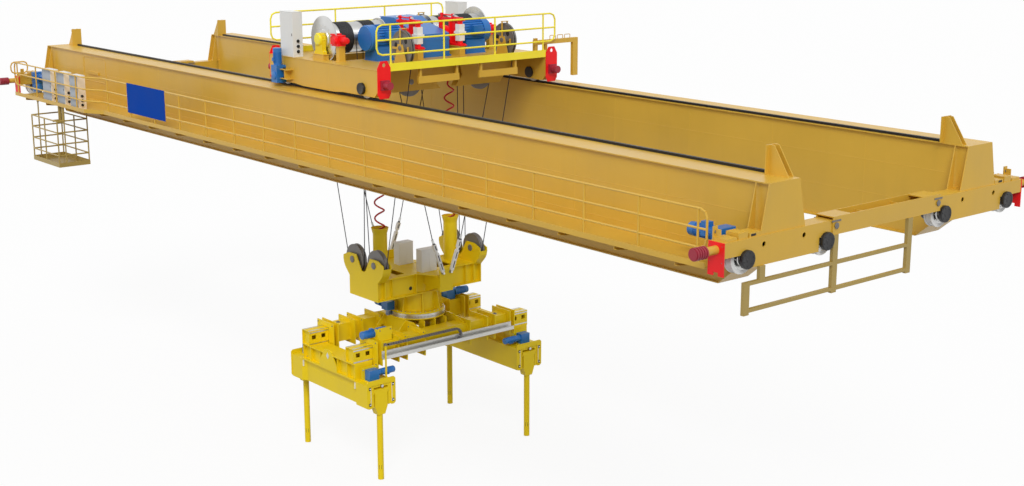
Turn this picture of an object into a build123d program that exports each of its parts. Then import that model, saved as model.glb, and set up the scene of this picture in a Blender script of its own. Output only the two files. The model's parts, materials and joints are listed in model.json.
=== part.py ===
"""Double-girder overhead crane that lifts and turns heavy press dies.

Millimetres. X runs along the girders, Y along the runway, Z up. The origin is at mid span,
in the plane of the runway rail tops that the eight travelling wheels stand on.
"""
from build123d import *
import math
import os

# Bridge sizes
SPAN = 28500
WHEEL_R = 250
WHEEL_FLANGE = 18
WHEEL_WIDTH = 140
TRUCK_WIDTH = 330
TRUCK_BOTTOM = 86
TRUCK_TOP = 590
TRUCK_INNER_Y = 1400
TRUCK_CORNER_Z = 330
TRUCK_OUTER_Y = 4270
TRUCK_PLATE = 16
TRUCK_HOLES_Y = (2300, 3320)
TRUCK_HOLES_Z = 440
TRUCK_HOLES_R = 45
WHEEL_INNER_Y = 1712
WHEEL_OUTER_Y = 3750
CAP_R = 160
CAP_DEPTH = 60
GIRDER_TOP = 1430
GIRDER_DEPTH = 1900
GIRDER_INNER_Y = 2430
GIRDER_OUTER_Y = 3200
GIRDER_FLANGE_T = 22
GIRDER_WEB_T = 12
WEB_EDGE = 64
GIRDER_HAUNCH = 670
GIRDER_TO_TRUCK = 85
END_PLATE_T = 20
END_PLATE_FLARE = 178
RAIL_Y = 2500
RAIL_WIDTH = 70
RAIL_HEIGHT = 50
RAIL_END_GAP = 590
STOP_HEIGHT = 500
TIE_OUT = 25
TIE_END_Y = 1560
TIE_WALL = 20
TIE_DEPTH = 320
TIE_TOP = 650
BUFFER_TUBE = 290
BUFFER_PAD = 280
BUFFER_R = 110
BUFFER_TUBE_R = 74
BUFFER_Z = 460

# Walkway and cage sizes
WALK_LENGTH = 27860
WALK_DECK_Z = 75
WALK_DECK_T = 6
WALK_EDGE_Y = 4200
WALK_WIDE_Y = 4500
WALK_WIDE_END = -9100
WALK_STEP_RUN = 600
TOE_HEIGHT = 92
RAILING_HEIGHT = 970
TUBE = 42
POST_PITCH = 1400
BRACKET_PITCH = 1400
BRACKET_INSET = 700
BRACKET_DEPTH = 230
CABINETS = ((-11740, 585), (-10780, 506), (-9895, 515))
CABINET_DEPTH = 235
CABINET_HEIGHT = 945
CAGE_X = (-12430, -10650)
CAGE_OUT = 150
CAGE_IN = 750
CAGE_RUNG = 330
CAGE_FLOOR = -1670
FESTOON_LEAD = 300
GUARD_POST = 130

# Trolley sizes
TROLLEY_X = 200
TROLLEY_HALF = 2300
SIDE_INNER_Y = 2320
SIDE_OUTER_Y = 2680
SIDE_TOP = 2150
SIDE_BOTTOM = 1530
BELLY = 30
CROSS_GIRDERS = (-1115, 425, 1115)
TROLLEY_PLATE = 14
TROLLEY_WHEEL_R = 210
TROLLEY_WHEEL_X = 1700
DECK_T = 12
DECK_Z = SIDE_TOP
TROLLEY_RAILING = 1000
TROLLEY_POSTS = (760, 2270)
TROLLEY_TOE = 130
DRUM_X = -250
DRUM_Z = 2630
DRUM_R = 360
DRUM_Y = (700, 2270)
DRUM_DISC_R = 540
GEARBOX_X = (-600, 1100)
GEARBOX_HALF_Y = 430
MOTOR_X = 750
MOTOR_R = 285
MOTOR_Z = DECK_Z + 530
BRAKE_STAND = 250
PEDESTAL_BOX = 130
MOTOR_Y = (900, 1800)
UPPER_SHEAVE_X = 1700
UPPER_SHEAVE_Y = 1520
UPPER_SHEAVE_Z = 2530
UPPER_SHEAVE_R = 410
LOWER_SHEAVE_X = 1295
LOWER_SHEAVE_Y = 1070
LOWER_SHEAVE_Z = 1680
LOWER_SHEAVE_R = 350
SHEAVE_WIDTH = 80
GROOVE_DEPTH = 40

# Lifting block sizes
BLOCK_TOP = -3250
BLOCK_BOTTOM = -3790
BLOCK_HALF_Y = 1600
BLOCK_HALF_X = 600
BLOCK_PLATE = 25
BLOCK_PIN_X = 465
BLOCK_PIN_Z = -2880
BLOCK_SHEAVE_R = 370
BLOCK_SHEAVE_WIDTH = 110
BLOCK_LOBE_Z = -2730
BLOCK_COVER_R = 405
ARM_REACH = 1250
BASKET_Y = 1100
BASKET_R = 178
BASKET_MOUTH_R = 212
BASKET_TOP = -2070
RING_Z = -4370
RING_R = 700
RING_HEIGHT = 110

# Spreader sizes
SLEEVE_X = 950
SLEEVE_HALF_Y = 2170
COLLAR_X = 365
COLLAR_TOP = -4510
COLLAR_BOTTOM = -5150
COLLAR_T = 30
BEAM_X = 975
DRIVE_INSET = 270
DRIVE_LENGTH = 440
BEAM_WIDTH = 330
BEAM_TOP = -4640
BEAM_BOTTOM = -5020
BEAM_START_Y = 300
BEAM_END_Y = 2740
BEAM_WALL = 20
SLIDE_GAP = 12
END_Y = 2330
END_HALF_Y = 400
END_HALF_X = 1680
END_TOP = -5420
END_BOTTOM = -6000
SADDLE_OUT = 400
SADDLE_IN = 130
CROSS_HALF_X = 1155
HUMP_HALF_X = 380
BRACKET_T = 25
POST_X = 1550
TRAY_Z = -4960
GUIDE_HALF_Y = 210
GUIDE_LENGTH = 900
LEDGE = 25
LEDGE_Z = -5650
LEG_X = 1650
LEG_TOP = -5560
LEG_SHOULDER = -6210
LEG_BOTTOM = -7890
LEG_R = 75

ROPE_R = 12
ROPE_ANCHOR_GAP = 1.9
SEAT_GAP = 0.3
SHAFT_GAP = 0.05
TRUCK_X = SPAN / 2
BUFFER_REACH = TRUCK_OUTER_Y + BUFFER_TUBE + BUFFER_PAD
GIRDER_BOTTOM = GIRDER_TOP - GIRDER_DEPTH
WALK_Y0 = GIRDER_OUTER_Y - WEB_EDGE + GIRDER_WEB_T / 2
RAIL_TOP = GIRDER_TOP + RAIL_HEIGHT
TROLLEY_AXLE_Z = RAIL_TOP + TROLLEY_WHEEL_R + SEAT_GAP
AXLE_R = 60
PIN_R = 45


def block(x, y, z):
    """A box between two values on each axis."""
    centre = ((x[0] + x[1]) / 2, (y[0] + y[1]) / 2, (z[0] + z[1]) / 2)
    return Pos(*centre) * Box(abs(x[1] - x[0]), abs(y[1] - y[0]), abs(z[1] - z[0]))


def rod(start, end, radius, sides=0):
    """A round bar, or one with flat sides, from one point to another."""
    start, end = Vector(*start), Vector(*end)
    across = Plane(origin=start, z_dir=end - start)
    section = RegularPolygon(radius, sides) if sides else Circle(radius)
    return extrude(across * section, amount=(end - start).length)


def outline(points):
    """A flat face from its corner points, whichever way round they are given."""
    doubled_area = sum(a[0] * b[1] - b[0] * a[1] for a, b in zip(points, points[1:] + points[:1]))
    return Polygon(*(points if doubled_area > 0 else points[::-1]), align=None)


def plate_xz(points, y0, y1):
    """A plate outlined in X and Z, from y0 to y1."""
    side = Plane(origin=(0, max(y0, y1), 0), x_dir=(1, 0, 0), z_dir=(0, -1, 0))
    return extrude(side * outline(points), amount=abs(y1 - y0))


def plate_yz(points, x0, x1):
    """A plate outlined in Y and Z, from x0 to x1."""
    side = Plane(origin=(min(x0, x1), 0, 0), x_dir=(0, 1, 0), z_dir=(1, 0, 0))
    return extrude(side * outline(points), amount=abs(x1 - x0))


def plate_xy(points, z0, z1):
    """A plate outlined in X and Y, from z0 to z1."""
    return extrude(Plane(origin=(0, 0, z0)) * outline(points), amount=z1 - z0)


def flip_x(shape):
    return mirror(shape, about=Plane.YZ)


def flip_y(shape):
    return mirror(shape, about=Plane.XZ)


def four(shape):
    """The piece and its copies across both middle planes."""
    pair = [shape, flip_x(shape)]
    return pair + [flip_y(piece) for piece in pair]


def two(shape, flip):
    return [shape, flip(shape)]


def weld(*pieces):
    """Pieces that are one weldment."""
    first, *rest = pieces
    return first + rest if rest else first


def tubes(points, radius):
    """Straight lengths of tube from point to point."""
    return [rod(a, b, radius, 8) for a, b in zip(points, points[1:])]


def bent(points, reach, closed=False):
    """The points of a line with its square corners replaced by bends of a given reach."""
    line = []
    count = len(points)
    for i, here in enumerate(points):
        p = Vector(*here)
        before = Vector(*points[i - 1]) - p
        after = Vector(*points[(i + 1) % count]) - p
        sharp = abs(before.normalized().dot(after.normalized())) < 0.1
        if sharp and (closed or 0 < i < count - 1):
            a, b = before.normalized() * reach, after.normalized() * reach
            corner = [p + a, p + (a + b) * 0.293, p + b]
        else:
            corner = [p]
        line += [(q.X, q.Y, q.Z) for q in corner]
    return line + line[:1] if closed else line


def save(name, pieces):
    """Write one node, with all its solids."""
    solids = []
    for piece in pieces:
        solids += list(piece.solids())
    shape = solids[0] if len(solids) == 1 else Compound(solids)
    export_step(shape, f"parts/{name}.step")


def tail(points, thickness):
    """The points moved in by a plate's thickness, in reverse order, to close its outline."""
    inner = []
    for before, here, after in zip(points, points[1:], points[2:]):
        a, b, c = Vector(*before), Vector(*here), Vector(*after)
        into, out = (b - a).normalized(), (c - b).normalized()
        left_in = Vector(-into.Y, into.X)
        left_out = Vector(-out.Y, out.X)
        share = thickness / (1 + left_in.dot(left_out))
        moved = b + (left_in + left_out) * share
        inner.append((moved.X, moved.Y))
    a, b = Vector(*points[0]), Vector(*points[1])
    first = a + Vector(-(b - a).normalized().Y, (b - a).normalized().X) * thickness
    a, b = Vector(*points[-2]), Vector(*points[-1])
    last = b + Vector(-(b - a).normalized().Y, (b - a).normalized().X) * thickness
    return [(last.X, last.Y)] + inner[::-1] + [(first.X, first.Y)]


# Bridge

TRUCK_FACE = TRUCK_X + TRUCK_WIDTH / 2
TRUCK_BACK = TRUCK_X - TRUCK_WIDTH / 2
GIRDER_END = TRUCK_FACE - 45
BELLY_X = TRUCK_BACK - GIRDER_TO_TRUCK
TIE_PIN_Y = TIE_END_Y - 80
TIE_PIN_Z = TIE_TOP - TIE_DEPTH / 2
TIE_PIN_R = 40


def belly_line():
    """The girder's lower edge, from its left end to its right end."""
    right = [
        (BELLY_X - GIRDER_HAUNCH, GIRDER_BOTTOM),
        (BELLY_X, TRUCK_BOTTOM),
        (BELLY_X, TRUCK_TOP),
        (GIRDER_END, TRUCK_TOP),
    ]
    return [(-x, z) for x, z in right[::-1]] + right


def girder_webs():
    line = belly_line()
    inside = tail(line, GIRDER_FLANGE_T)
    top = GIRDER_TOP - GIRDER_FLANGE_T
    corners = inside + [(-GIRDER_END, top), (GIRDER_END, top)]
    webs = []
    for y in (GIRDER_INNER_Y + WEB_EDGE, GIRDER_OUTER_Y - WEB_EDGE):
        webs.append(plate_xz(corners, y - GIRDER_WEB_T / 2, y + GIRDER_WEB_T / 2))
    return webs + [flip_y(web) for web in webs]


def girder_flanges():
    top = block((-GIRDER_END, GIRDER_END), (GIRDER_INNER_Y, GIRDER_OUTER_Y),
                (GIRDER_TOP - GIRDER_FLANGE_T, GIRDER_TOP))
    line = belly_line()
    bottom = plate_xz(line + tail(line, GIRDER_FLANGE_T), GIRDER_INNER_Y, GIRDER_OUTER_Y)
    return two(top, flip_y) + two(bottom, flip_y)


def girder_end_plates():
    """Flared plates that close the girders over the trucks, with the stops of the trolley."""
    inner, outer = GIRDER_INNER_Y, GIRDER_OUTER_Y
    corners = [(inner, GIRDER_TOP), (outer, GIRDER_TOP), (outer + END_PLATE_FLARE, TRUCK_TOP),
               (inner - END_PLATE_FLARE, TRUCK_TOP)]
    end = plate_yz(corners, GIRDER_END, GIRDER_END + END_PLATE_T)
    wing = [(outer, GIRDER_TOP - GIRDER_FLANGE_T), (outer + END_PLATE_FLARE, TRUCK_TOP),
            (outer, TRUCK_TOP)]
    middle = (inner + outer) / 2
    mirrored = [(2 * middle - y, z) for y, z in wing[::-1]]
    wing_x = TRUCK_BACK
    wings = [plate_yz(side, wing_x, wing_x + END_PLATE_T) for side in (wing, mirrored)]
    stop_x = TRUCK_X - 450
    ribs = []
    for y in (RAIL_Y - 60, RAIL_Y + 60):
        rib = [(stop_x + END_PLATE_T, GIRDER_TOP), (stop_x + 450, GIRDER_TOP),
               (stop_x + 120, GIRDER_TOP + STOP_HEIGHT), (stop_x + END_PLATE_T, GIRDER_TOP + STOP_HEIGHT)]
        ribs.append(plate_xz(rib, y - 8, y + 8))
    face = block((stop_x, stop_x + END_PLATE_T), (RAIL_Y - 150, RAIL_Y + 150),
                 (GIRDER_TOP, GIRDER_TOP + STOP_HEIGHT))
    stop = weld(face, *ribs)
    pieces = []
    for piece in (end, *wings, stop):
        pieces += four(piece)
    return pieces


def trolley_rails():
    half = TRUCK_X - RAIL_END_GAP + 50
    bar = block((-half, half), (RAIL_Y - RAIL_WIDTH / 2, RAIL_Y + RAIL_WIDTH / 2), (GIRDER_TOP, RAIL_TOP))
    return two(bar, flip_y)


def end_trucks():
    """Hollow box beams, cut away at their lower corners for the wheels and their bearings."""
    y0, y1 = TRUCK_INNER_Y, TRUCK_OUTER_Y
    t = TRUCK_PLATE
    reach = WHEEL_R + WHEEL_FLANGE + 30
    z = TRUCK_CORNER_Z
    y_in, y_out = WHEEL_INNER_Y + reach, WHEEL_OUTER_Y - reach
    edge = [(y0, TRUCK_TOP), (y0, z), (WHEEL_INNER_Y + CAP_R + 20, z), (WHEEL_INNER_Y + CAP_R + 20, TRUCK_BOTTOM),
            (WHEEL_OUTER_Y - CAP_R - 20, TRUCK_BOTTOM), (WHEEL_OUTER_Y - CAP_R - 20, z), (y1, z), (y1, TRUCK_TOP)]
    webs = [plate_yz(edge, x, x + t) for x in (TRUCK_BACK, TRUCK_FACE - t)]
    top = block((TRUCK_BACK, TRUCK_FACE), (y0, y1), (TRUCK_TOP - t, TRUCK_TOP))
    bottom = block((TRUCK_BACK, TRUCK_FACE), (y_in, y_out), (TRUCK_BOTTOM, TRUCK_BOTTOM + t))
    ends = [block((TRUCK_BACK, TRUCK_FACE), (y, y + t), (TRUCK_BOTTOM, TRUCK_TOP)) for y in (y_in, y_out - t)]
    caps = [block((TRUCK_BACK, TRUCK_FACE), (y, y + t), (z, TRUCK_TOP)) for y in (y0, y1 - t)]
    truck = weld(top, bottom, *webs, *ends, *caps)
    for y in (WHEEL_INNER_Y, WHEEL_OUTER_Y):
        truck -= rod((TRUCK_BACK - t, y, WHEEL_R), (TRUCK_FACE + t, y, WHEEL_R), CAP_R - 40)
    for y in TRUCK_HOLES_Y:
        truck -= rod((TRUCK_FACE - 2 * t, y, TRUCK_HOLES_Z), (TRUCK_FACE + t, y, TRUCK_HOLES_Z), TRUCK_HOLES_R)
    truck -= rod((TRUCK_BACK - t, TIE_PIN_Y, TIE_PIN_Z), (TRUCK_FACE + t, TIE_PIN_Y, TIE_PIN_Z), TIE_PIN_R + SHAFT_GAP)
    tube_end = BUFFER_REACH - BUFFER_PAD
    truck += rod((TRUCK_X, y1 - 5, BUFFER_Z), (TRUCK_X, tube_end, BUFFER_Z), BUFFER_TUBE_R)
    return four(truck)


def travel_wheel(y):
    """One wheel with its flanges and axle; the rail runs between the flanges."""
    half = WHEEL_WIDTH / 2
    x = TRUCK_X
    tread = rod((x - half, y, WHEEL_R), (x + half, y, WHEEL_R), WHEEL_R)
    lips = [rod((x + s * half - 12, y, WHEEL_R), (x + s * half + 12, y, WHEEL_R), WHEEL_R + WHEEL_FLANGE)
            for s in (-1, 1)]
    axle = rod((TRUCK_BACK - 5, y, WHEEL_R), (TRUCK_FACE + 5, y, WHEEL_R), AXLE_R)
    return two(weld(tread, *lips, axle), flip_x)


def bearing_caps():
    """Bearing housings with round covers, one on each side of a wheel, bolted into the corners."""
    caps = []
    for y in (WHEEL_INNER_Y, WHEEL_OUTER_Y):
        for face, out in ((TRUCK_FACE, 1), (TRUCK_BACK, -1)):
            cap = rod((face, y, WHEEL_R), (face + out * CAP_DEPTH, y, WHEEL_R), CAP_R)
            spigot = rod((face - out * TRUCK_PLATE, y, WHEEL_R), (face + out, y, WHEEL_R), CAP_R - 42)
            bore = rod((face - out * 2 * TRUCK_PLATE, y, WHEEL_R), (face + out * 25, y, WHEEL_R), AXLE_R + SHAFT_GAP)
            caps.append(weld(cap, spigot) - bore)
    return [copy for cap in caps for copy in four(cap)]


def tie_beams():
    """Open troughs whose side plates straddle the trucks' inner ends and are pinned to them."""
    x0, x1 = TRUCK_BACK - TIE_OUT, TRUCK_FACE + TIE_OUT
    y = TIE_END_Y
    y_floor = TRUCK_INNER_Y - 10
    z0, z1 = TIE_TOP - TIE_DEPTH, TIE_TOP
    wall = TIE_WALL
    sides = [block(x, (-y, y), (z0, z1)) for x in ((x0, x0 + wall), (x1 - wall, x1))]
    floor = block((x0, x1), (-y_floor, y_floor), (z0, z0 + wall))
    lids = [block((x0, x1), (s * y, s * (y - 500)), (z1 - wall, z1)) for s in (-1, 1)]
    ribs = [block((x0, x1), (s * 520 - 10, s * 520 + 10), (z0, z1 - 60)) for s in (-1, 1)]
    pins = [rod((x0 - 15, s * TIE_PIN_Y, TIE_PIN_Z), (x1 + 15, s * TIE_PIN_Y, TIE_PIN_Z), TIE_PIN_R)
            for s in (-1, 1)]
    return two(weld(*sides, floor, *lids, *ribs, *pins), flip_x)


def rail_guards():
    """Plates at the truck ends that sweep the runway rail, notched over it, with the buffer tube through them."""
    half = 170
    z0 = 30
    corners = [(-half, TRUCK_TOP), (half, TRUCK_TOP), (half, z0), (55, z0), (55, z0 + 60),
               (-55, z0 + 60), (-55, z0), (-half, z0)]
    shifted = [(TRUCK_X + x, z) for x, z in corners]
    plate = plate_xz(shifted, TRUCK_OUTER_Y, TRUCK_OUTER_Y + 25)
    plate -= rod((TRUCK_X, TRUCK_OUTER_Y - 5, BUFFER_Z), (TRUCK_X, TRUCK_OUTER_Y + 30, BUFFER_Z), BUFFER_TUBE_R + SHAFT_GAP)
    return four(plate)


def travel_buffers():
    """Ribbed pads on the ends of the buffer tubes."""
    x, z = TRUCK_X, BUFFER_Z
    y0 = BUFFER_REACH - BUFFER_PAD
    pieces = [rod((x, y0, z), (x, BUFFER_REACH - 5, z), 96)]
    rings = 5
    pitch = (BUFFER_PAD - 10) / rings
    for i in range(rings):
        start = y0 + 10 + i * pitch
        pieces.append(rod((x, start, z), (x, start + pitch * 0.6, z), BUFFER_R))
    return four(weld(*pieces))


def travel_gearmotors():
    """Shaft-mounted gearmotors at the inboard faces of the outer wheels."""
    x = TRUCK_BACK - CAP_DEPTH
    y = WHEEL_OUTER_Y
    z = WHEEL_R + 310
    case = block((x - 220, x), (y - 170, y + 170), (WHEEL_R - 130, z + 150))
    motor = rod((x - 220, y, z), (x - 760, y, z), 110)
    fan = rod((x - 760, y, z), (x - 830, y, z), 118)
    box = block((x - 560, x - 400), (y - 65, y + 65), (z + 90, z + 180))
    return four(weld(case, motor, fan, box))


def walkway_edge(y_shift):
    """The walkway's outer edge in plan, stepping in beside the wide part."""
    half = WALK_LENGTH / 2
    return [(-half, WALK_WIDE_Y + y_shift), (WALK_WIDE_END, WALK_WIDE_Y + y_shift),
            (WALK_WIDE_END + WALK_STEP_RUN, WALK_EDGE_Y + y_shift), (half, WALK_EDGE_Y + y_shift)]


def walkway_deck():
    half = WALK_LENGTH / 2
    top = WALK_DECK_Z
    edge = walkway_edge(0)
    plan = edge + [(half, WALK_Y0), (-half, WALK_Y0)]
    deck = plate_xy(plan, top - WALK_DECK_T, top)
    toe = plate_xy(edge + tail(edge, -8), top - 15, top + TOE_HEIGHT)
    brackets = []
    run = WALK_LENGTH - 2 * BRACKET_INSET
    count = int(run // BRACKET_PITCH)
    under = top - WALK_DECK_T
    for i in range(count + 1):
        x = -run / 2 + i * run / count
        reach = WALK_WIDE_Y if x < WALK_WIDE_END else WALK_EDGE_Y
        corners = [(WALK_Y0, under), (reach - 30, under), (reach - 30, under - 70), (WALK_Y0, under - BRACKET_DEPTH)]
        brackets.append(plate_yz(corners, x - 5, x + 5))
        flange = [(reach - 30, under - 70), (reach - 30, under - 80), (WALK_Y0, under - BRACKET_DEPTH - 10),
                  (WALK_Y0, under - BRACKET_DEPTH)]
        brackets.append(plate_yz(flange, x - 5, x + 55))
    return [flip_y(weld(deck, toe, *brackets))]


def walkway_railing():
    """A tube railing along the outer edge with bent ends, and a narrow return panel at its left end."""
    half = WALK_LENGTH / 2
    z0 = WALK_DECK_Z
    r = TUBE / 2
    high, middle, low = (z0 + RAILING_HEIGHT * share for share in (1, 0.66, 0.33))
    edge = [(x, -y) for x, y in walkway_edge(-30)]
    left, right = edge[0], edge[-1]
    bars = []
    for a, b in zip(edge, edge[1:]):
        bars.append(rod((a[0], a[1], middle), (b[0], b[1], middle), r, 8))
    top_line = [(x, y, high) for x, y in edge]
    low_line = [(x, y, low) for x, y in edge[::-1]]
    bars += tubes(bent(top_line + low_line, 150, closed=True), r)
    y0, y1 = left[1] - 110, left[1] + 400
    panel = [(-half, y0, high), (-half, y1, high), (-half, y1, middle), (-half, y0, middle)]
    bars += tubes(bent(panel, 110, closed=True), r)
    count = round(WALK_LENGTH / POST_PITCH)
    for i in range(count + 1):
        x = -half + 200 + i * (WALK_LENGTH - 400) / count
        y = left[1] if x <= WALK_WIDE_END else right[1]
        if WALK_WIDE_END < x < WALK_WIDE_END + WALK_STEP_RUN:
            continue
        bars.append(rod((x, y, z0), (x, y, high), r, 8))
    return [weld(*bars)]


def walkway_cabinets():
    y1 = -(WALK_WIDE_Y - 90)
    cabinets = []
    for x, width in CABINETS:
        body = block((x - width / 2, x + width / 2), (y1, y1 + CABINET_DEPTH), (WALK_DECK_Z, WALK_DECK_Z + CABINET_HEIGHT))
        cabinets.append(body)
    return cabinets


def maintenance_cage():
    """An open basket hung under the walkway, with rails at five levels."""
    x0, x1 = CAGE_X
    y0, y1 = -(WALK_WIDE_Y + CAGE_OUT), -(WALK_WIDE_Y - CAGE_IN)
    z0 = CAGE_FLOOR
    z1 = WALK_DECK_Z - 70
    r = TUBE / 2
    levels = [z0 + CAGE_RUNG * i for i in range(1, 5)]
    high = levels[-1]
    under = -WALK_WIDE_Y + 60
    bars = []
    for x in (x0, (x0 + x1) / 2, x1):
        for y in (y0, y1):
            top = z1 if y == y1 and x != (x0 + x1) / 2 else high
            bars.append(rod((x, y, z0), (x, y, top), r, 8))
    for x in (x0, x1):
        bars.append(rod((x, under, z0), (x, under, z1), r, 8))
        for z in levels:
            bars.append(rod((x, y0, z), (x, y1, z), r, 8))
    for z in levels:
        for y in (y0, y1):
            bars.append(rod((x0, y, z), (x1, y, z), r, 8))
    channel = 50
    for x in (x1 - channel, x1 - 6 * channel):
        post = block((x, x + channel), (under - 30, under + 30), (high - 40, WALK_DECK_Z - WALK_DECK_T))
        bars.append(post)
        bars.append(block((x, x + channel), (y0, under), (high - 40, high + 20)))
    floor = block((x0 - 20, x1 + 20), (y0 - 20, y1 + 20), (z0 - 8, z0))
    toes = [block((x0 - 20, x1 + 20), (y - 4, y + 4), (z0, z0 + 120)) for y in (y0 - 16, y1 + 16)]
    toes += [block((x - 4, x + 4), (y0 - 20, y1 + 20), (z0, z0 + 120)) for x in (x0 - 16, x1 + 16)]
    hangers = [block((x - 30, x + 30), (y, y + 40), (z1, WALK_DECK_Z - WALK_DECK_T))
               for x in (x0, x1) for y in (-WALK_WIDE_Y + 40, y1 - 20)]
    return [weld(*bars, floor, *toes, *hangers)]


def guard_frame():
    """Posts and bars hung under the right-hand trucks, beside the runway conductors."""
    x0, x1 = TRUCK_FACE - 30, TRUCK_FACE + 40
    z0 = -700
    y0, y1 = -WHEEL_OUTER_Y + 10, 650
    tie_bottom = TIE_TOP - TIE_DEPTH
    half = GUARD_POST / 2
    posts = []
    shoulder = -(WHEEL_OUTER_Y - 380)
    for y, top in ((y0, z0 + 560), (shoulder, TRUCK_BOTTOM), (-1480, tie_bottom), (y1, tie_bottom)):
        posts.append(block((x0, x1), (y - half, y + half), (z0 if y != shoulder else z0 + 500, top)))
    bars = [block((x0, x1), (y0 - half, y1 + half), (z, z + 60)) for z in (z0 + 40, z0 + 500)]
    return [weld(*posts, *bars)]


def festoon():
    """A cable track along the far girder with saddles and slack loops between them."""
    y = GIRDER_OUTER_Y + 120
    z = GIRDER_TOP - 140
    half = WALK_LENGTH / 2 - 400
    track = block((TROLLEY_X + TROLLEY_HALF + FESTOON_LEAD, half), (y - 25, y + 25), (z, z + 50))
    arms = []
    pitch = 1500
    count = int((half - TROLLEY_X - TROLLEY_HALF - FESTOON_LEAD - 100) // pitch)
    loops = []
    for i in range(count + 1):
        x = half - 60 - i * pitch
        arms.append(block((x - 20, x + 20), (GIRDER_OUTER_Y - WEB_EDGE + GIRDER_WEB_T / 2, y + 25), (z + 50, z + 80)))
        loops.append(block((x - 70, x + 70), (y - 40, y + 40), (z - 60, z)))
        if i < count:
            x1 = x - pitch
            sag = z - 420
            chain = [(x - 60, z - 60), (x - 260, sag), (x1 + 260, sag), (x1 + 60, z - 60)]
            for a, b in zip(chain, chain[1:]):
                loops.append(rod((a[0], y, a[1]), (b[0], y, b[1]), 20, 8))
    return [weld(track, *arms, *loops)]


# Trolley

def trolley_frame():
    """Two hollow side frames over the rails, cross girders and the deck with its rope wells."""
    t = TROLLEY_PLATE
    x0, x1 = TROLLEY_X - TROLLEY_HALF, TROLLEY_X + TROLLEY_HALF
    low = SIDE_BOTTOM
    belly = [(x0, SIDE_TOP), (x0, low + 120), (x0 + 120, low), (x0 + 1150, low), (x0 + 1500, low - BELLY),
             (x1 - 1750, low - BELLY), (x1 - 1400, low), (x1 - 120, low), (x1, low + 120), (x1, SIDE_TOP)]
    shell = plate_xz(belly, SIDE_INNER_Y, SIDE_OUTER_Y)
    pocket = TROLLEY_WHEEL_R + 60
    for x in (TROLLEY_X - TROLLEY_WHEEL_X, TROLLEY_X + TROLLEY_WHEEL_X):
        shell -= block((x - pocket, x + pocket), (SIDE_INNER_Y + t, SIDE_OUTER_Y - t),
                       (low - 200, RAIL_TOP + 2 * TROLLEY_WHEEL_R + 60))
        z = TROLLEY_AXLE_Z
        shell -= rod((x, SIDE_INNER_Y - 5, z), (x, SIDE_OUTER_Y + 5, z), 90)
    sides = two(shell, flip_y)
    y = SIDE_INNER_Y
    cross = []
    for x in CROSS_GIRDERS:
        cross.append(block((TROLLEY_X + x - 75, TROLLEY_X + x + 75), (-y, y), (low + 120, DECK_Z - DECK_T)))
    deck = block((x0, x1), (-y, y), (DECK_Z - DECK_T, DECK_Z))
    slot = SHEAVE_WIDTH / 2 + 22
    through = (DECK_Z - 50, DECK_Z + 50)
    for s in (-1, 1):
        drum = sorted((s * (DRUM_Y[0] - 40), s * y))
        deck -= block((DRUM_X - DRUM_DISC_R - 60, DRUM_X + DRUM_DISC_R + 60), drum, (DECK_Z - 50, DECK_Z + 50))
        for side in (-1, 1):
            reach = TROLLEY_X + side * (UPPER_SHEAVE_X - UPPER_SHEAVE_R - 60)
            far = TROLLEY_X + side * (TROLLEY_HALF - 200)
            deck -= block(sorted((reach, far)), (s * UPPER_SHEAVE_Y - slot, s * UPPER_SHEAVE_Y + slot), through)
            sx = TROLLEY_X + side * LOWER_SHEAVE_X
            sy = s * LOWER_SHEAVE_Y
            long = LOWER_SHEAVE_R + 50
            deck -= block((sx - slot + 12, sx + slot - 12), (sy - long, sy + long), through)
    for s in (-1, 1):
        cross.append(block((TROLLEY_X - 150, TROLLEY_X + CROSS_GIRDERS[1]), (s * BASKET_Y - 60, s * BASKET_Y + 60),
                           (low + 120, low + 140)))
        for end, out in ((x0, 1), (x1, -1)):
            channel = sorted((end + out * 60, end + out * 120))
            cross.append(block(channel, sorted((s * 300, s * 1480)), (DECK_Z - 395, DECK_Z - 235)))
            for hanger in (360, 1420):
                cross.append(block(channel, (s * hanger - 30, s * hanger + 30), (DECK_Z - 395, DECK_Z - DECK_T)))
    return [weld(deck, *sides, *cross, *deck_stands())]


def deck_stands():
    """Boxes on the deck that carry the drum bearings and the brakes."""
    stands = []
    y = DRUM_Y[1]
    jaw = DRUM_X + DRUM_DISC_R + 60
    brake = GEARBOX_HALF_Y + 200
    for s in (-1, 1):
        boxes = [((DRUM_X - 230, DRUM_X + 230), (y + 40, y + 190), PEDESTAL_BOX),
                 ((jaw + 10, jaw + 140), (y - 90, y + 80), DRUM_Z - 120 - DECK_Z),
                 ((MOTOR_X + 220, MOTOR_X + 620), (brake - 80, brake + 80), BRAKE_STAND)]
        for x, across, height in boxes:
            stands.append(block(x, sorted((s * across[0], s * across[1])), (DECK_Z - 5, DECK_Z + height)))
    return stands


def trolley_railings():
    """A bent tube railing over a high toe plate, at each end of the trolley."""
    r = TUBE / 2
    high, middle, low = (DECK_Z + TROLLEY_RAILING * share for share in (1, 0.66, 0.33))
    rails = []
    for x, out in ((TROLLEY_X - TROLLEY_HALF + 40, -1), (TROLLEY_X + TROLLEY_HALF - 40, 1)):
        y = SIDE_OUTER_Y - 30
        loop = [(x, -y, high), (x, y, high), (x, y, low), (x, -y, low)]
        bars = tubes(bent(loop, 150, closed=True), r)
        bars.append(rod((x, -y, middle), (x, y, middle), r, 8))
        for post in TROLLEY_POSTS:
            for side in (-1, 1):
                bars.append(rod((x, side * post, DECK_Z), (x, side * post, high), r, 8))
        plate = sorted((x + out * 12, x + out * 26))
        bars.append(block(plate, (-SIDE_INNER_Y, SIDE_INNER_Y), (DECK_Z, DECK_Z + TROLLEY_TOE)))
        rails.append(weld(*bars))
    return rails


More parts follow.
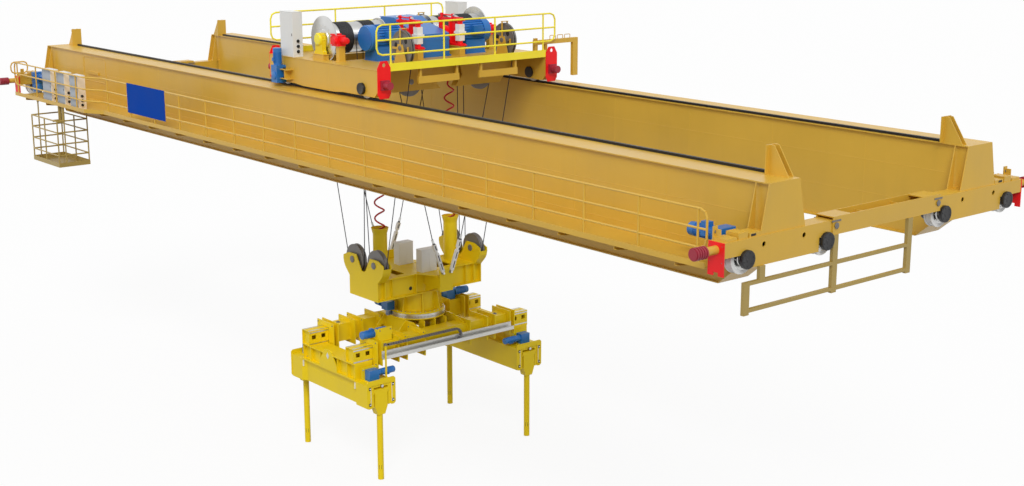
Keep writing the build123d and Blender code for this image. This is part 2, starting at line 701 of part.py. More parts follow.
def trolley_cabinets():
    width, depth, height = 570, 270, 1070
    x0 = TROLLEY_X - 1800
    cabinet = block((x0, x0 + width), (SIDE_OUTER_Y - 20 - depth, SIDE_OUTER_Y - 20), (DECK_Z, DECK_Z + height))
    return two(cabinet, flip_y)


def hoist_gearbox():
    x0, x1 = GEARBOX_X
    y = GEARBOX_HALF_Y
    z0 = DECK_Z
    corners = [(x0, z0), (x1, z0), (x1, z0 + 560), (x0 + 900, z0 + 760), (x0 + 620, z0 + 900),
               (x0 + 80, z0 + 900), (x0, z0 + 780)]
    case = plate_xz(corners, -y, y)
    case -= rod((DRUM_X, -y - 5, DRUM_Z), (DRUM_X, y + 5, DRUM_Z), 100)
    return [case]


def hoist_motors():
    """The two hoist motors and the upright gearmotors that drive the left trolley wheels."""
    z = MOTOR_Z
    y0, y1 = MOTOR_Y
    pieces = []
    body = rod((MOTOR_X, y0, z), (MOTOR_X, y1, z), MOTOR_R)
    shaft = rod((MOTOR_X, GEARBOX_HALF_Y, z), (MOTOR_X, y0, z), 50)
    feet = block((MOTOR_X - 260, MOTOR_X + 260), (y0 + 120, y1 - 180), (DECK_Z, z - 200))
    box = block((MOTOR_X + 200, MOTOR_X + 420), (y0 + 260, y0 + 520), (z - 50, z + 160))
    pieces += two(weld(body, shaft, feet, box), flip_y)
    x = TROLLEY_X - TROLLEY_WHEEL_X
    y = SIDE_OUTER_Y
    case = block((x - 130, x + 130), (y, y + 260), (RAIL_TOP + 40, RAIL_TOP + 460))
    case -= rod((x, y - 5, TROLLEY_AXLE_Z), (x, y + 30, TROLLEY_AXLE_Z), AXLE_R + SHAFT_GAP)
    drive = rod((x, y + 150, RAIL_TOP + 460), (x, y + 150, RAIL_TOP + 800), 95)
    fan = rod((x, y + 150, RAIL_TOP + 800), (x, y + 150, RAIL_TOP + 870), 105)
    pieces += two(weld(case, drive, fan), flip_y)
    return pieces


def hoist_drums():
    """Both rope drums on one shaft through the gearbox."""
    y0, y1 = DRUM_Y
    shaft = rod((DRUM_X, -y1 - 160, DRUM_Z), (DRUM_X, y1 + 160, DRUM_Z), 80)
    pieces = [shaft]
    for s in (-1, 1):
        pieces.append(rod((DRUM_X, s * y0, DRUM_Z), (DRUM_X, s * y1, DRUM_Z), DRUM_R))
        pieces.append(rod((DRUM_X, s * y1, DRUM_Z), (DRUM_X, s * (y1 + 25), DRUM_Z), DRUM_DISC_R))
        pieces.append(rod((DRUM_X, s * y0, DRUM_Z), (DRUM_X, s * (y0 + 25), DRUM_Z), DRUM_R + 50))
    return [weld(*pieces)]


def drum_pedestals():
    """Bearing housings of the drum shaft, round over the bearing and spread at the foot."""
    y = DRUM_Y[1] + 60
    half = 190
    z0 = DECK_Z + PEDESTAL_BOX
    corners = [(DRUM_X - half, z0), (DRUM_X + half, z0), (DRUM_X + half, z0 + 50), (DRUM_X + 150, z0 + 90),
               (DRUM_X + 150, DRUM_Z + 50), (DRUM_X + 90, DRUM_Z + 145), (DRUM_X - 90, DRUM_Z + 145),
               (DRUM_X - 150, DRUM_Z + 50), (DRUM_X - 150, z0 + 90), (DRUM_X - half, z0 + 50)]
    stand = plate_xz(corners, y, y + 110)
    stand += rod((DRUM_X, y + 100, DRUM_Z), (DRUM_X, y + 140, DRUM_Z), 120)
    stand -= rod((DRUM_X, y - 5, DRUM_Z), (DRUM_X, y + 145, DRUM_Z), 80 + SHAFT_GAP)
    return two(stand, flip_y)


def hoist_brakes():
    """Thruster brakes on the motor shafts and caliper brakes at the drum discs."""
    z = MOTOR_Z
    x = MOTOR_X
    floor = DECK_Z + BRAKE_STAND
    pieces = []
    y = GEARBOX_HALF_Y + 200
    base = block((x + 200, x + 640), (y - 90, y + 90), (floor, floor + 50))
    arm = block((x + 230, x + 290), (y - 40, y + 40), (floor + 50, z + 400))
    shoe = block((x + 320, x + 370), (y - 40, y + 40), (floor + 50, z + 340))
    lever = block((x + 230, x + 620), (y - 30, y + 30), (z + 340, z + 400))
    thruster = rod((x + 530, y, floor + 50), (x + 530, y, z + 340), 65)
    pieces += two(weld(base, arm, shoe, lever, thruster), flip_y)
    y = DRUM_Y[1] + 12
    xc = DRUM_X + DRUM_DISC_R + 60
    jaw = block((xc - 160, xc + 160), (y - 110, y + 110), (DRUM_Z - 120, DRUM_Z + 130))
    jaw -= block((xc - 170, xc + 20), (y - 30, y + 30), (DRUM_Z - 130, DRUM_Z + 140))
    jaw += rod((xc + 60, y - 200, DRUM_Z), (xc + 60, y + 110, DRUM_Z), 55)
    pieces += two(jaw, flip_y)
    return pieces


def sheave(radius, width):
    """A grooved rope wheel about the Y axis."""
    half = width / 2
    rim = radius - GROOVE_DEPTH
    profile = [(0, -half), (radius, -half), (rim, 0), (radius, half), (0, half)]
    return revolve(outline(profile), Axis.Y, 360)


def rope_offset(radius, width):
    """How far a rope's centre line lies from the centre of the sheave that it runs on."""
    half = width / 2
    return radius - GROOVE_DEPTH + ROPE_R * math.hypot(half, GROOVE_DEPTH) / half + SEAT_GAP


def upper_sheaves(side):
    wheel = sheave(UPPER_SHEAVE_R, SHEAVE_WIDTH) + rod((0, -95, 0), (0, 95, 0), PIN_R)
    place = Pos(TROLLEY_X + side * UPPER_SHEAVE_X, UPPER_SHEAVE_Y, UPPER_SHEAVE_Z)
    return two(place * wheel, flip_y)


def lower_sheaves(side):
    wheel = sheave(LOWER_SHEAVE_R, SHEAVE_WIDTH) + rod((0, -95, 0), (0, 95, 0), PIN_R)
    wheel = Rot(0, 0, 90) * wheel
    return [Pos(TROLLEY_X + s * LOWER_SHEAVE_X, side * LOWER_SHEAVE_Y, LOWER_SHEAVE_Z) * wheel for s in (-1, 1)]


def sheave_brackets():
    """Cheeks that hold the upper sheaves over the deck and the lower ones under it, with their guards."""
    pieces = []
    z = UPPER_SHEAVE_Z
    for side in (-1, 1):
        x = TROLLEY_X + side * UPPER_SHEAVE_X
        for s in (-1, 1):
            y = UPPER_SHEAVE_Y + s * 80
            corners = [(x - 240, DECK_Z), (x + 240, DECK_Z), (x + 90, z + 90), (x - 90, z + 90)]
            cheek = plate_xz(corners, y - 12, y + 12)
            guard = [(x - 300, z - 30), (x - 90, z - 30), (x - 90, z + 20), (x - 300, z + 20)]
            cheek += plate_xz(guard, y - 12, y + 12)
            cheek -= rod((x, y - 15, z), (x, y + 15, z), PIN_R + SHAFT_GAP)
            pieces += two(cheek, flip_y)
    y = LOWER_SHEAVE_Y
    z = LOWER_SHEAVE_Z
    top = DECK_Z - DECK_T
    bottom = SIDE_BOTTOM - 60
    for side in (-1, 1):
        for s in (-1, 1):
            x = TROLLEY_X + side * LOWER_SHEAVE_X + s * 80
            corners = [(y - 720, top), (y + 850, top), (y + 730, z + 10), (y + 560, bottom), (y - 850, bottom),
                       (y - 620, z + 60)]
            cheek = plate_yz(corners, x - 12, x + 12)
            cheek -= rod((x - 15, y, z), (x + 15, y, z), PIN_R + SHAFT_GAP)
            pieces += two(cheek, flip_y)
    return pieces


def trolley_wheels(x):
    z = TROLLEY_AXLE_Z
    tread = rod((x, RAIL_Y - 55, z), (x, RAIL_Y + 55, z), TROLLEY_WHEEL_R)
    lips = [rod((x, RAIL_Y + s * 55 - 10, z), (x, RAIL_Y + s * 55 + 10, z), TROLLEY_WHEEL_R + 22) for s in (-1, 1)]
    axle = rod((x, SIDE_INNER_Y - 10, z), (x, SIDE_OUTER_Y + 10, z), AXLE_R)
    return two(weld(tread, *lips, axle), flip_y)


def trolley_caps():
    """Bearing housings in the bores of the trolley's side frames."""
    caps = []
    z = TROLLEY_AXLE_Z
    t = TROLLEY_PLATE
    for x in (TROLLEY_X - TROLLEY_WHEEL_X, TROLLEY_X + TROLLEY_WHEEL_X):
        for face, out in ((SIDE_INNER_Y, -1), (SIDE_OUTER_Y, 1)):
            depth = 40
            if out > 0 and x > TROLLEY_X:
                depth = 60
            if out > 0 and x < TROLLEY_X:
                continue
            cap = rod((x, face, z), (x, face + out * depth, z), 135)
            cap += rod((x, face - out * t, z), (x, face + out, z), 89)
            cap -= rod((x, face - out * 2 * t, z), (x, face + out * 20, z), AXLE_R + SHAFT_GAP)
            caps += two(cap, flip_y)
    return caps


def trolley_guards():
    """Plates with lifting eyes on the frame ends."""
    pieces = []
    y0, y1 = SIDE_INNER_Y, SIDE_OUTER_Y
    middle = (y0 + y1) / 2
    z0, z1 = RAIL_TOP + 20, DECK_Z + 200
    corners = [(y0, z0 + 100), (y0 + 60, z0), (y1 - 60, z0), (y1, z0 + 100), (y1, z1 - 160),
               (middle + 90, z1), (middle - 90, z1), (y0, z1 - 160)]
    for x0, x1 in ((TROLLEY_X + TROLLEY_HALF, TROLLEY_X + TROLLEY_HALF + 20),
                   (TROLLEY_X - TROLLEY_HALF - 20, TROLLEY_X - TROLLEY_HALF)):
        plate = plate_yz(corners, x0, x1) - rod((x0 - 5, middle, z1 - 90), (x1 + 5, middle, z1 - 90), 45)
        pieces += two(plate, flip_y)
    return pieces


def trolley_buffers():
    z = SIDE_BOTTOM + 280
    y = RAIL_Y
    pieces = []
    for s in (-1, 1):
        face = TROLLEY_X + s * (TROLLEY_HALF + 20)
        base = block((face, face + s * 60), (y - 110, y + 110), (z - 110, z + 110))
        pad = rod((face + s * 60, y, z), (face + s * 240, y, z), 90)
        pieces += two(weld(base, pad), flip_y)
    return pieces


def tow_arm():
    """A beam from the trolley's far corner out over the far girder, with a leg that draws the cable loops."""
    x0, x1 = TROLLEY_X + TROLLEY_HALF - 205, TROLLEY_X + TROLLEY_HALF - 115
    y0, y1 = SIDE_INNER_Y - 240, GIRDER_OUTER_Y + 290
    low, high = DECK_Z + 250, DECK_Z + 360
    foot = block((x0, x1), (y0, y0 + 90), (DECK_Z, high))
    brace = block((x0, x1), (y0 + 330, y0 + 400), (DECK_Z, low))
    across = block((x0, x1), (y0, y1), (low, high))
    down = block((x0, x1), (y1 - 160, y1), (GIRDER_TOP + 140, high))
    return [weld(foot, brace, across, down)]


# Lifting block

def block_frame():
    """The welded beam of the lifting block, its cross arms, and its end plates with sheave lobes."""
    cx = TROLLEY_X
    t = BLOCK_PLATE
    half_y = BLOCK_HALF_Y
    top = block((cx - BLOCK_HALF_X, cx + BLOCK_HALF_X), (-half_y, half_y), (BLOCK_TOP - t, BLOCK_TOP))
    bottom = block((cx - BLOCK_HALF_X, cx + BLOCK_HALF_X), (-half_y, half_y), (BLOCK_BOTTOM, BLOCK_BOTTOM + t))
    webs = [block((cx + s * 500 - 10, cx + s * 500 + 10), (-half_y, half_y), (BLOCK_BOTTOM + t, BLOCK_TOP - t))
            for s in (-1, 1)]
    arms = []
    for s in (-1, 1):
        x0, x1 = sorted((cx + s * (BLOCK_HALF_X - 100), cx + s * (ARM_REACH - 15)))
        arms.append(block((x0, x1), (-150, 150), (BLOCK_TOP - 330, BLOCK_TOP - t)))
        plate = cx + s * ARM_REACH
        arms.append(block((plate - 15, plate + 15), (-200, 200), (BLOCK_TOP - 380, BLOCK_TOP + 200)))
        root, tip = cx + s * (BLOCK_HALF_X - 20), cx + s * (ARM_REACH - 200)
        arms.append(plate_xy([(root, -420), (tip, -150), (tip, 150), (root, 420)], BLOCK_TOP - t, BLOCK_TOP))
        under = [(root, BLOCK_TOP - 320), (tip, BLOCK_TOP - 320), (root, BLOCK_BOTTOM + t)]
        for y in (-140, 140):
            arms.append(plate_xz(under, y - 8, y + 8))
    ends = []
    lobe = [(BLOCK_PIN_X + BLOCK_COVER_R * math.cos(math.radians(a)),
             BLOCK_PIN_Z + BLOCK_COVER_R * math.sin(math.radians(a))) for a in (-50, -35, -20, -5)]
    right = [(610, BLOCK_BOTTOM), (610, BLOCK_TOP - 60)] + lobe
    crown = [(860, BLOCK_PIN_Z + 50), (BLOCK_PIN_X + 160, BLOCK_LOBE_Z), (BLOCK_PIN_X - 160, BLOCK_LOBE_Z),
             (80, BLOCK_PIN_Z - 230)]
    half = right + crown
    corners = half + [(-x, z) for x, z in half[::-1]]
    shifted = [(cx + x, z) for x, z in corners]
    for y in (half_y, half_y - 220):
        plate = plate_xz(shifted, y, y + t)
        for s in (-1, 1):
            x = cx + s * BLOCK_PIN_X
            plate -= rod((x, y - 5, BLOCK_PIN_Z), (x, y + t + 5, BLOCK_PIN_Z), AXLE_R + SHAFT_GAP)
        ends += two(plate, flip_y)
    for s in (-1, 1):
        line = [(cx + s * x, z) for x, z in (right[1:] if s > 0 else right[:0:-1])]
        cover = plate_xz(line + tail(line, 12), half_y - 220 + t, half_y)
        ends += two(cover, flip_y)
    body = weld(top, bottom, *webs, *arms, *ends)
    for y in ((-880, -640), (200, 860)):
        body -= block((cx - 380, cx + 380), y, (BLOCK_TOP - t - 5, BLOCK_TOP + 5))
    return [body]


def block_sheaves(side):
    x = TROLLEY_X + side * BLOCK_PIN_X
    y = BLOCK_HALF_Y - 220 + BLOCK_PLATE + (220 - BLOCK_PLATE) / 2
    wheel = Pos(x, y, BLOCK_PIN_Z) * sheave(BLOCK_SHEAVE_R, BLOCK_SHEAVE_WIDTH)
    wheel += rod((x, BLOCK_HALF_Y - 230, BLOCK_PIN_Z), (x, BLOCK_HALF_Y + BLOCK_PLATE + 10, BLOCK_PIN_Z), AXLE_R)
    return two(wheel, flip_y)


def cable_baskets():
    """Tall tubes with flared mouths that gather the spiral cables as the block rises."""
    cx = TROLLEY_X
    z0, z1 = BLOCK_TOP, BASKET_TOP
    wall = 6
    flare = 150
    outer = [(0, z0), (BASKET_R, z0), (BASKET_R, z1 - flare), (BASKET_MOUTH_R, z1 - 25), (BASKET_MOUTH_R, z1), (0, z1)]
    inner = [(0, z0 + wall), (BASKET_R - wall, z0 + wall), (BASKET_R - wall, z1 - flare),
             (BASKET_MOUTH_R - wall, z1 - 25), (BASKET_MOUTH_R - wall, z1 + 20), (0, z1 + 20)]
    upright = Plane(origin=(0, 0, 0), x_dir=(1, 0, 0), z_dir=(0, -1, 0))
    shell = revolve(upright * outline(outer), Axis.Z, 360)
    shell -= revolve(upright * outline(inner), Axis.Z, 360)
    return two(Pos(cx, BASKET_Y, 0) * shell, flip_y)


def block_boxes():
    """Two upright control boxes at the edges of the block's top plate."""
    cx = TROLLEY_X
    deep, tall = 225, 570
    z = (BLOCK_TOP, BLOCK_TOP + tall)
    return [block((cx - BLOCK_HALF_X, cx - BLOCK_HALF_X + deep), (-260, 180), z),
            block((cx + BLOCK_HALF_X - deep, cx + BLOCK_HALF_X), (-270, 200), z)]


def anchor_line(side, lean):
    """Foot and head of one rope anchor."""
    x = TROLLEY_X + side * LOWER_SHEAVE_X
    return (x, lean * 120, BLOCK_TOP + 100), (x, lean * 450, BLOCK_TOP + 1000)


def rope_anchors():
    """Turnbuckles pinned to the anchor plates, one for each end of the ropes."""
    pieces = []
    for side in (-1, 1):
        for lean in (-1, 1):
            foot, head = anchor_line(side, lean)
            body = rod(foot, head, 30, 8)
            face = TROLLEY_X + side * (ARM_REACH + 15)
            pin = rod((face, foot[1], foot[2] + 5), (foot[0] + side * 40, foot[1], foot[2] + 5), 28)
            pieces.append(weld(body, pin))
    return pieces


def slew_turret():
    """The ribbed drum under the block that the slewing bearing hangs from."""
    cx = TROLLEY_X
    top, low = BLOCK_BOTTOM, RING_Z + RING_HEIGHT / 2
    drum = rod((cx, 0, low), (cx, 0, top), 520)
    flange = rod((cx, 0, low), (cx, 0, low + 40), RING_R)
    ribs = []
    for i in range(8):
        angle = 22.5 + 45 * i
        rib = plate_xz([(500, low + 40), (RING_R - 10, low + 40), (RING_R - 100, top), (500, top)], -12, 12)
        ribs.append(Pos(cx, 0, 0) * Rot(0, 0, angle) * rib)
    body = weld(drum, flange, *ribs)
    well = rod((cx, 0, low - 5), (cx, 0, top - 40), 480)
    return [body - well]


def slew_drive():
    cx = TROLLEY_X
    low = RING_Z + RING_HEIGHT / 2
    pinion_r = 60
    x = cx - 200
    y = -math.sqrt((RING_R + 25 + pinion_r) ** 2 - (x - cx) ** 2)
    case = block((x - 130, x + 130), (y - 110, y + 110), (low + 40, low + 260))
    motor = rod((x - 130, y, low + 160), (x - 480, y, low + 160), 90)
    pinion = rod((x, y, low + 40), (x, y, RING_Z - 40), pinion_r)
    return [weld(case, motor, pinion)]


# Slewing frame and spreader

def slew_ring():
    cx = TROLLEY_X
    low = RING_Z - RING_HEIGHT / 2
    ring = rod((cx, 0, low), (cx, 0, RING_Z + RING_HEIGHT / 2 - SEAT_GAP), RING_R + 20)
    ring -= rod((cx, 0, low - 5), (cx, 0, low + 200), RING_R - 130)
    return [ring]


def spreader_frame():
    """The round seat of the bearing, the centre frame, and the two sleeves that the telescopic beams slide in."""
    cx = TROLLEY_X
    seat = RING_Z - RING_HEIGHT / 2
    wall = 20
    gap = SLIDE_GAP
    pieces = []
    inner_x = BEAM_WIDTH / 2 + gap
    z0, z1 = BEAM_BOTTOM - gap, BEAM_TOP + gap
    for s in (-1, 1):
        x = cx + s * BEAM_X
        tube = block((x - inner_x - wall, x + inner_x + wall), (-SLEEVE_HALF_Y, SLEEVE_HALF_Y), (z0 - wall, z1 + wall))
        for y in (700, 1250, 1500, 2000, SLEEVE_HALF_Y - COLLAR_T):
            for side in (-1, 1):
                ends = sorted((side * y, side * (y + COLLAR_T)))
                tube += block((cx + s * SLEEVE_X - COLLAR_X, cx + s * SLEEVE_X + COLLAR_X), ends,
                              (COLLAR_BOTTOM, COLLAR_TOP))
        tube -= block((x - inner_x, x + inner_x), (-SLEEVE_HALF_Y - 5, SLEEVE_HALF_Y + 5), (z0, z1))
        for side in (-1, 1):
            for y in (500, SLEEVE_HALF_Y - 150):
                ends = sorted((side * y, side * (y + 140)))
                tube += block((x - inner_x, x + inner_x), ends, (z0, BEAM_BOTTOM - SEAT_GAP))
                tube += block((x - inner_x, x + inner_x), ends, (BEAM_TOP + SEAT_GAP, z1))
        pieces.append(tube)
    reach = BEAM_X - inner_x - wall
    shoulder = BEAM_X + inner_x - 20
    top = z1 + wall
    cross = [(-reach, COLLAR_BOTTOM), (reach, COLLAR_BOTTOM), (reach, top - 5), (shoulder, top - 5), (shoulder, top + 30),
             (RING_R, seat - 30), (-RING_R, seat - 30), (-shoulder, top + 30), (-shoulder, top - 5), (-reach, top - 5)]
    for y in (-640, 640):
        pieces.append(plate_xz([(cx + x, z) for x, z in cross], y - 15, y + 15))
    pieces.append(block((cx - reach, cx + reach), (-655, 655), (COLLAR_BOTTOM, COLLAR_BOTTOM + 25)))
    disc = rod((cx, 0, seat - 30), (cx, 0, seat), RING_R + 20)
    disc -= rod((cx, 0, seat - 40), (cx, 0, seat + 5), RING_R - 160)
    pieces.append(disc)
    for s in (-1, 1):
        for y in (-340, 0, 340):
            x0, x1 = sorted((cx + s * (reach + 5), cx + s * (RING_R - 150)))
            pieces.append(block((x0, x1), (y - 10, y + 10), (COLLAR_BOTTOM, seat - 25)))
    for s in (-1, 1):
        for side in (-1, 1):
            x = cx + s * (RING_R - 250)
            gusset = [(side * 650, seat - 30), (side * 650, top - 120), (side * 950, top - 120), (side * 700, seat - 30)]
            pieces.append(plate_yz(gusset, x - 10, x + 10))
    return [weld(*pieces)]


def cable_tray():
    x0 = TROLLEY_X + SLEEVE_X + COLLAR_X
    z0, z1 = TRAY_Z, TRAY_Z + 180
    y = 2030
    back = block((x0, x0 + 8), (-y, y), (z0, z1))
    floor = block((x0, x0 + 130), (-y, y), (z0, z0 + 8))
    lip = block((x0 + 122, x0 + 130), (-y, y), (z0, z0 + 90))
    return [weld(back, floor, lip)]


def drag_chain():
    """The cable chain, drawn as one fixed loop: its lower run lies in the tray and its upper run turns back over it."""
    x0 = TROLLEY_X + SLEEVE_X + COLLAR_X + 30
    low, high = TRAY_Z + 8, TRAY_Z + 360
    turn = (high - low) / 2
    middle = (high + low) / 2
    thick = 40
    end_y = 190
    steps = [math.radians(90 - 22.5 * i) for i in range(9)]
    outer = [(end_y + turn * math.cos(a), middle + turn * math.sin(a)) for a in steps]
    inner = [(end_y + (turn - thick) * math.cos(a), middle + (turn - thick) * math.sin(a)) for a in steps[::-1]]
    line = [(-1960, high)] + outer + [(-1200, low), (-1200, low + thick)] + inner + [(-1960, high - thick)]
    return [plate_yz(line, x0, x0 + 70)]


def spreader_motors():
    """Gearmotors for the telescopic beams, one on each sleeve."""
    cx = TROLLEY_X
    z = COLLAR_TOP
    x = cx + BEAM_X
    y = -SLEEVE_HALF_Y + DRIVE_INSET
    case = block((x - 120, x + 120), (y, y + 280), (z - 90, z + 190))
    motor = rod((x - 60, y, z + 90), (x - 60, y - DRIVE_LENGTH, z + 90), 90)
    near = weld(case, motor)
    far = Pos(2 * cx, 0, 0) * Rot(0, 0, 180) * near
    return [near, far]


def arm(side):
    """One telescopic arm: two hollow beams, a framed crosspiece and the end beam that the legs hang from."""
    cx = TROLLEY_X
    pieces = []
    half = BEAM_WIDTH / 2
    w = BEAM_WALL
    for s in (-1, 1):
        x = cx + s * BEAM_X
        beam = block((x - half, x + half), (BEAM_START_Y, BEAM_END_Y), (BEAM_BOTTOM, BEAM_TOP))
        beam -= block((x - half + w, x + half - w), (BEAM_START_Y - 5, BEAM_END_Y + 5), (BEAM_BOTTOM + w, BEAM_TOP - w))
        for y in (BEAM_END_Y - 140, BEAM_END_Y - 420):
            beam -= block((x - half - 5, x + half + 5), (y - 60, y + 60), (BEAM_BOTTOM + 160, BEAM_BOTTOM + 265))
        beam += block((x - half, x + half), (BEAM_END_Y - 60, BEAM_END_Y - 45), (BEAM_BOTTOM, BEAM_TOP))
        pieces.append(beam)
    inner, outer = END_Y - SADDLE_IN, END_Y + SADDLE_OUT
    low, high = END_TOP, BEAM_BOTTOM
    across = (cx - CROSS_HALF_X, cx + CROSS_HALF_X)
    pieces.append(block(across, (inner, outer), (high - 22, high)))
    pieces.append(block(across, (inner, outer), (low, low + 22)))
    for y in (inner + 20, outer - 110):
        pieces.append(block(across, (y, y + 15), (low, high)))
    for x in (-CROSS_HALF_X, -BEAM_X + half, -HUMP_HALF_X, HUMP_HALF_X, BEAM_X - half, CROSS_HALF_X - 16):
        pieces.append(block((cx + x, cx + x + 16), (inner, outer - 15), (low, high)))
    hump = [(-HUMP_HALF_X, low + 20), (HUMP_HALF_X, low + 20), (HUMP_HALF_X, low + 150), (170, high + 60), (90, high + 105),
            (-90, high + 105), (-170, high + 60), (-HUMP_HALF_X, low + 150)]
    pieces.append(plate_xz([(cx + x, z) for x, z in hump], outer - 25, outer))
    y0, y1 = END_Y - END_HALF_Y, END_Y + END_HALF_Y
    x0, x1 = cx - END_HALF_X, cx + END_HALF_X
    beam = block((x0, x1), (y0, y1), (END_BOTTOM, END_TOP))
    for s in (-1, 1):
        tip = cx + s * END_HALF_X
        guide = sorted((tip - s * GUIDE_LENGTH, tip + s * 5))
        beam -= block(guide, (END_Y - GUIDE_HALF_Y, END_Y + GUIDE_HALF_Y), (LEDGE_Z, END_TOP - 90))
        beam -= block(guide, (END_Y - GUIDE_HALF_Y + LEDGE, END_Y + GUIDE_HALF_Y - LEDGE), (END_BOTTOM - 5, LEDGE_Z))
        beam -= block(guide, (END_Y - GUIDE_HALF_Y, END_Y + GUIDE_HALF_Y), (END_BOTTOM - 5, LEDGE_Z - 30))
    middle = END_HALF_X - GUIDE_LENGTH - 40
    recess = 80
    taper = [(cx - CROSS_HALF_X - 60, y1 + 5), (cx - CROSS_HALF_X + 60, y1 - recess), (cx + CROSS_HALF_X - 60, y1 - recess),
             (cx + CROSS_HALF_X + 60, y1 + 5)]
    beam -= plate_xy(taper, END_BOTTOM - 5, END_TOP - 22)
    beam -= block((cx - middle, cx + middle), (y0 + 30, y1 - recess - 30), (END_BOTTOM + 30, END_TOP - 30))
    pieces.append(beam)
    for s in (-1, 1):
        tip = cx + s * END_HALF_X
        pieces.append(end_bracket(min(tip, tip + s * BRACKET_T), max(tip, tip + s * BRACKET_T)))
    post = cx - side * POST_X
    pieces.append(block((post - 20, post + 20), (y0 + 130, y0 + 160), (END_TOP - 5, BEAM_TOP + 60)))
    whole = weld(*pieces)
    return [whole if side > 0 else flip_y(whole)]


def end_bracket(x0, x1):
    """A plate round the end of a guide, open below where the leg slides through."""
    reach, inside, cut = END_HALF_Y + 15, GUIDE_HALF_Y + 80, 45
    high, low = END_TOP + 100, END_BOTTOM - 10
    right = [(inside, END_TOP - 25), (inside, low), (reach - cut, low), (reach, low + cut), (reach, high - cut),
             (reach - cut, high)]
    points = right + [(-y, z) for y, z in right[::-1]]
    return plate_yz([(END_Y + y, z) for y, z in points], x0, x1)


def leg(side_x, side_y):
    """A leg: a head that slides in the end beam's guide and a round pole with a slot for the load pin."""
    x = TROLLEY_X + side_x * LEG_X
    y = side_y * END_Y
    wide = GUIDE_HALF_Y - 5
    half = GUIDE_HALF_Y - LEDGE - 5
    seat = LEDGE_Z + SEAT_GAP
    right = [(wide, LEG_TOP), (wide, seat), (half, seat), (half, END_BOTTOM), (LEG_R + 30, LEG_SHOULDER)]
    head = right + [(-a, z) for a, z in right[::-1]]
    shifted = [(y + a, z) for a, z in head]
    body = plate_yz(shifted, x - 150, x + 50)
    pole = rod((x - 40, y, LEG_SHOULDER + 40), (x - 40, y, LEG_BOTTOM), LEG_R)
    return [weld(body, pole)]


def tight(low, low_side, high, high_side):
    """Ends of a tight rope in an upright plane, between two wheels.

    Each wheel is its centre, across and up, and how far beside it the rope runs, negative to the left.
    """
    span = Vector(high[0] - low[0], high[1] - low[1])
    along = span.normalized()
    share = (low_side - high_side) / span.length
    beside = along * share + Vector(along.Y, -along.X) * math.sqrt(1 - share ** 2)
    start = Vector(*low) + beside * low_side
    end = Vector(*high) + beside * high_side
    return (start.X, start.Y), (end.X, end.Y)


def hoist_ropes():
    """All the ropes between the trolley and the lifting block, each pulled straight."""
    cx = TROLLEY_X
    ropes = []
    y = BLOCK_HALF_Y - 220 + BLOCK_PLATE + (220 - BLOCK_PLATE) / 2
    low_off = rope_offset(BLOCK_SHEAVE_R, BLOCK_SHEAVE_WIDTH)
    top_off = rope_offset(UPPER_SHEAVE_R, SHEAVE_WIDTH)
    drum_off = DRUM_R + ROPE_R + SEAT_GAP
    side_off = rope_offset(LOWER_SHEAVE_R, SHEAVE_WIDTH)
    for s in (-1, 1):
        pin = (cx + s * BLOCK_PIN_X, BLOCK_PIN_Z)
        low, high = tight(pin, s * low_off, (cx + s * UPPER_SHEAVE_X, UPPER_SHEAVE_Z), s * top_off)
        ropes += two(rod((low[0], y, low[1]), (high[0], UPPER_SHEAVE_Y, high[1]), ROPE_R, 8), flip_y)
        low, high = tight(pin, -s * low_off, (DRUM_X, DRUM_Z), drum_off)
        ropes += two(rod((low[0], y, low[1]), (high[0], UPPER_SHEAVE_Y + s * 100, high[1]), ROPE_R, 8), flip_y)
        for lean in (-1, 1):
            foot, head = anchor_line(s, lean)
            start = (head[1], head[2] + ROPE_ANCHOR_GAP)
            low, high = tight(start, 0, (lean * LOWER_SHEAVE_Y, LOWER_SHEAVE_Z), lean * side_off)
            ropes.append(rod((head[0], *low), (head[0], *high), ROPE_R, 8))
    return ropes


def spiral_cables():
    """The outer shape of the two spiral cables, from the trolley into the baskets."""
    cx = TROLLEY_X
    low = BASKET_TOP - 250
    top = SIDE_BOTTOM + 120
    return two(rod((cx, BASKET_Y, low), (cx, BASKET_Y, top), 150), flip_y)


